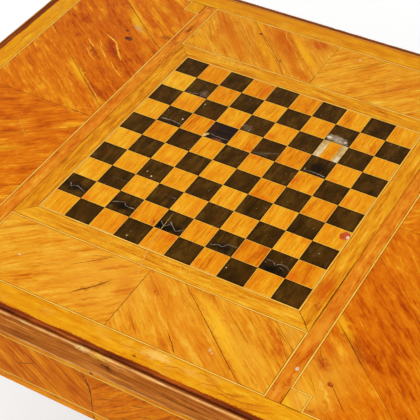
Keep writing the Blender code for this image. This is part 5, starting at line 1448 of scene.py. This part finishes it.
SPOTS = {
    "red_wax": (RED_WAX_SHADES, [
        ((4.85, -1.27), (0.18, 0.2)),
    ]),
    "whitewash_and_glints": (WHITEWASH_AND_GLINT_SHADES, [
        ((6.06, -7.18), (0.065, 0.07)), ((4.97, -1.3), (0.06, 0.07)), ((-2.72, -1.67), (0.022, 0.03)),
        ((-2.46, -1.83), (0.03, 0.04)), ((3.4, -7.82), (0.025, 0.07)), ((3.52, -7.9), (0.02, 0.05)),
        # The first three spots here, on and above the patched square, are painted glints.
        ((2.12, 3.2), (0.1, 0.07)), ((2.78, 3.18), (0.05, 0.06)), ((2.1, 2.7), (0.05, 0.05)),
        ((-2.86, 2.68), (0.02, 0.04)), ((-3.15, 1.5), (0.03, 0.04)), ((2.1, -4.5), (0.02, 0.025)),
        ((-1.58, -4.8), (0.02, 0.04)), ((8.3, 3.9), (0.05, 0.04)), ((-4.2, -7.3), (0.05, 0.03)),
        ((1.1, 8.1), (0.04, 0.04)),
    ]),
    "cream_chip": (CHIP_SHADES, [
        ((-1.97, 1.1), (0.07, 0.09)), ((-1.9, 1.2), (0.06, 0.05)),
    ]),
    "knot": (KNOT_SHADES, [
        ((-7.78, 4.97), (0.16, 0.14)), ((-8.14, 5.42), (0.07, 0.05)), ((-1.12, -3.8), (0.02, 0.04)),
        ((-5.92, 6.63), (0.03, 0.12)), ((-3.22, 7.86), (0.05, 0.04)), ((1.5, -9.16), (0.06, 0.015)),
        ((0.62, -6.55), (0.03, 0.015)), ((8.7, 2.2), (0.08, 0.07)), ((-9.3, -4.9), (0.09, 0.08)),
        ((4.2, 6.9), (0.06, 0.05)),
    ]),
}


def blot(centre, size, pick, raggedness=0.35):
    """The ragged outline of a spot, its centre and half sizes in squares."""
    seed = pick.uniform(0, 50)
    outline = []
    for index in range(SPOT_CORNERS):
        turn = math.tau * index / SPOT_CORNERS
        round_x, round_y = math.cos(turn), math.sin(turn)
        reach = 1 + raggedness * noise.noise((round_x * SPOT_LOBES, round_y * SPOT_LOBES, seed))
        outline.append((centre[0] + size[0] * reach * round_x, centre[1] + size[1] * reach * round_y))
    return in_squares(outline)


specks = []
while len(specks) < SPECKS:
    x, y = (pick.uniform(-SQUARES / 2, SQUARES / 2) for _ in range(2))
    if (math.floor(x) + math.floor(y)) % 2:
        size = pick.uniform(*SPECK_SIZES)
        outline = blot((x, y), (size, size * pick.uniform(*SPECK_STRETCH)), pick)
        specks.append(Leaf(outline, SPOT_GRAIN, 0.0, (x, y)))
filmed("wax_specks", specks, pale_wax_and_glint, SPECK_STEP)
for layer, (kind, (shades, places)) in enumerate(SPOTS.items()):
    matter = wood(kind, shades, band=0.004, streak=0.0012, blotch=0.7, fleck=0.4, gloss=(0.25, 0.45),
                  edge=shades[0][1])
    leaves = [Leaf(blot(centre, size, pick), SPOT_GRAIN, 0.0, centre) for centre, size in places]
    filmed(kind, leaves, matter, LOWEST_SPOT + SPOT_STEP * layer, SPOT_EDGE)

# The frieze's own splits: its middle joint has opened, and a curved split runs into it beside a small chip.
# Short dark cracks follow the sloping grain where the veneer bridges the joints of the case.
FRIEZE_WANDER = 0.0005
SPLIT_SHIFT = 0.09
FRIEZE_SPLITS = {
    "front": [
        (12, (0.01, -1.95), (0.01, -2.4), (0.0, -3.18)),
        (20, (-0.36, -1.33), (-0.14, -1.55), (-0.04, -1.9), (0.0, -2.2)),
        (32, (0.06, -1.12), (0.2, -1.16)), (16, (0.02, -3.3), (0.04, -3.5)),
        (10, (1.55, -1.86), (2.1, -1.66)), (9, (1.9, -2.2), (2.3, -2.06)), (6, (0.3, -2.3), (0.9, -2.0)),
        (10, (2.6, -2.3), (3.3, -2.0)), (10, (-2.2, -2.0), (-2.9, -2.4)), (8, (1.1, -2.8), (1.6, -2.6)),
    ],
    "right": [
        (10, (0.0, -1.3), (0.01, -3.18)), (10, (2.1, -2.4), (2.9, -2.0)), (10, (-3.4, -1.9), (-2.6, -2.3)),
    ],
    "back": [
        (10, (0.0, -1.3), (-0.01, -3.18)), (12, (-5.1, -2.5), (-4.2, -2.0)),
        (10, (3.3, -2.0), (4.1, -2.5)),
    ],
    "left": [
        (10, (0.0, -1.3), (0.0, -3.18)), (10, (3.1, -2.5), (3.9, -2.9)), (12, (-2.2, -1.7), (-1.5, -2.1)),
    ],
}
for side, table in FRIEZE_SPLITS.items():
    pick = random.Random(f"splits {side}")
    leaves = []
    for width, *path in table:
        points = [(x * square, board_high.z + z * square) for x, z in path]
        outline = trail(points, width * TENTH, pick, FRIEZE_WANDER)
        leaves.append(Leaf(outline, 0.0, 0.0, (width * SPLIT_SHIFT, 0.0)))
    lay(f"frieze_splits_{side}", leaves, FILM, front_plane(side, FILM), crack_wood, "case", 0.0)

# The baize: a flat green woollen cloth glued in a shallow bed under the top, for cards.
# It is cut square with a razor against the bed's edge, and it has faded and matted where hands rested.
BAIZE_SHADES = [(0.0, (16, 52, 30)), (0.5, (28, 78, 46)), (1.0, (58, 112, 70))]
BAIZE_STEP = 0.008
WOOL_SIZE = (0.0012, 0.0012)
FADED_SIZE = (0.09, 0.09)
NAP_DEPTH = 0.0002
WIDE_NAP, WIDE_NAP_RISE = 60, 0.00012
FINE_NAP, FINE_NAP_RISE = 300, 0.00005
baize_low, baize_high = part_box("baize")
cloth_x, cloth_y = baize_high.x - baize_low.x, baize_high.y - baize_low.y
baize, tree, shader = started("green_baize")
place = place_of(tree)
fibre = patches(tree, place, *WOOL_SIZE, 6.0, 0.7)
faded = patches(tree, place, *FADED_SIZE, 4.0)
fed(tree, shader, {
    "Base Color": stepped(tree, spread(tree, sum_of(tree, fibre, faded, 0.8), 0.5, 1.2), BAIZE_SHADES),
    "Roughness": 0.95,
    "Specular IOR Level": 0.1,
    "Sheen Weight": 0.3,
    "Normal": bumped(tree, fibre, 0.0004, 0.8),
})
shape = bmesh.new()
columns, rows = round(cloth_x / BAIZE_STEP), round(cloth_y / BAIZE_STEP)
bmesh.ops.create_grid(shape, x_segments=columns, y_segments=rows, size=0.5)
bmesh.ops.scale(shape, vec=(cloth_x, cloth_y, 1), verts=shape.verts)
for vert in shape.verts:
    nap = noise.noise(vert.co * WIDE_NAP) * WIDE_NAP_RISE + noise.noise(vert.co * FINE_NAP) * FINE_NAP_RISE
    vert.co.z = baize_low.z + NAP_DEPTH + nap
lifted = bmesh.ops.extrude_face_region(shape, geom=shape.faces[:])["geom"]
for part in lifted:
    if isinstance(part, bmesh.types.BMVert):
        part.co.z = baize_high.z
bmesh.ops.recalc_face_normals(shape, faces=shape.faces)
cloth = built("baize_cloth", shape, baize, MOULDING_FOLD)
fitted(cloth, "top", ["baize"])

# The room: a plain pale floor that fades into white with distance, under three large square lamps.
# Their light is soft and even, and the world round the table is white where the camera sees it.
FLOOR_SHADES = [(0.0, (246, 246, 245)), (1.0, (250, 250, 249))]
FLOOR_SIZE = 8.0
FLOOR_LIFT = 0.36
FLOOR_CLOUD = (0.4, 0.4)
FADE_START, FADE_END = 1.2, 4.5
WHITE = (1.0, 1.0, 1.0, 1.0)
WORLD_LIGHT = 0.35
LIGHT_AIM = (0, 0, 0.6)
LAMPS = [
    ("overhead", (0.2, -0.5, 2.64), 3.0, 1.36),
    ("front_right", (1.8, -2.6, 1.5), 2.0, 1.7),
    ("left", (-2.8, -0.4, 1.9), 2.0, 0.6),
]


def seen_directly(tree):
    """One where a ray comes straight from the camera, by a reflection or through glass, or else nought."""
    path = add(tree, "LightPath").outputs
    direct = sum_of(tree, path["Is Camera Ray"], path["Is Glossy Ray"])
    sockets = {0: direct, 1: path["Is Transmission Ray"]}
    return add(tree, "Math", sockets, operation="ADD", use_clamp=True).outputs[0]


def aimed(place, aim):
    """The turn that points a lamp or a camera from its place at another."""
    return (Vector(aim) - Vector(place)).to_track_quat("-Z", "Y")


floor_paint, tree, shader = started("floor_paint")
place = place_of(tree)
fed(tree, shader, {
    "Base Color": stepped(tree, patches(tree, place, *FLOOR_CLOUD, 2.0), FLOOR_SHADES),
    "Roughness": 0.9,
    "Specular IOR Level": 0.1,
})
away = add(tree, "VectorMath", {0: place}, operation="LENGTH").outputs["Value"]
fading = spread(tree, away, FADE_START, FADE_END, FLOOR_LIFT, 1.0)
glow = add(tree, "Emission", {"Color": WHITE, "Strength": fading})
lit = add(tree, "AddShader", {0: shader.outputs[0], 1: glow.outputs[0]})
shown = add(tree, "MixShader", {0: seen_directly(tree), 1: shader.outputs[0], 2: lit.outputs[0]})
fed(tree, tree.nodes["Material Output"], {"Surface": shown.outputs[0]})
shape = bmesh.new()
bmesh.ops.create_grid(shape, x_segments=1, y_segments=1, size=FLOOR_SIZE)
floor = built("floor", shape, floor_paint)
for name, place, size, radiance in LAMPS:
    light = bpy.data.lights.new(name, "AREA")
    light.shape = "SQUARE"
    light.size = size
    light.energy = radiance * math.pi * size ** 2
    lamp = linked(name, light)
    lamp.location = place
    lamp.rotation_euler = aimed(place, LIGHT_AIM).to_euler()
world = bpy.data.worlds.new("studio")
bpy.context.scene.world = world
world.use_nodes = True
tree = world.node_tree
plain = fed(tree, tree.nodes["Background"], {"Color": WHITE, "Strength": WORLD_LIGHT})
white = add(tree, "Background", {"Color": WHITE, "Strength": 1.0})
shown = add(tree, "MixShader", {0: seen_directly(tree), 1: plain.outputs[0], 2: white.outputs[0]})
fed(tree, tree.nodes["World Output"], {"Surface": shown.outputs[0]})
bpy.context.scene.view_settings.view_transform = "Standard"

# The camera: where the eye of the photograph stood, above and outside the table's front right corner.
# It looks down on the board through a long lens, rolled a little to one side.
CAMERA_PLACE = (0.5369, -0.9690, 1.6951)
CAMERA_AIM = (0.0086, -0.0801, 0.7400)
CAMERA_ROLL = math.radians(-1.16)
CAMERA_LENS = 103.1
SENSOR_WIDTH = 36.0
lens = bpy.data.cameras.new("photograph")
lens.lens = CAMERA_LENS
lens.sensor_width = SENSOR_WIDTH
camera = linked("photograph", lens)
camera.location = CAMERA_PLACE
towards = aimed(CAMERA_PLACE, CAMERA_AIM).to_matrix()
camera.rotation_euler = (towards @ Matrix.Rotation(CAMERA_ROLL, 3, "Z")).to_euler()
bpy.context.scene.camera = camera
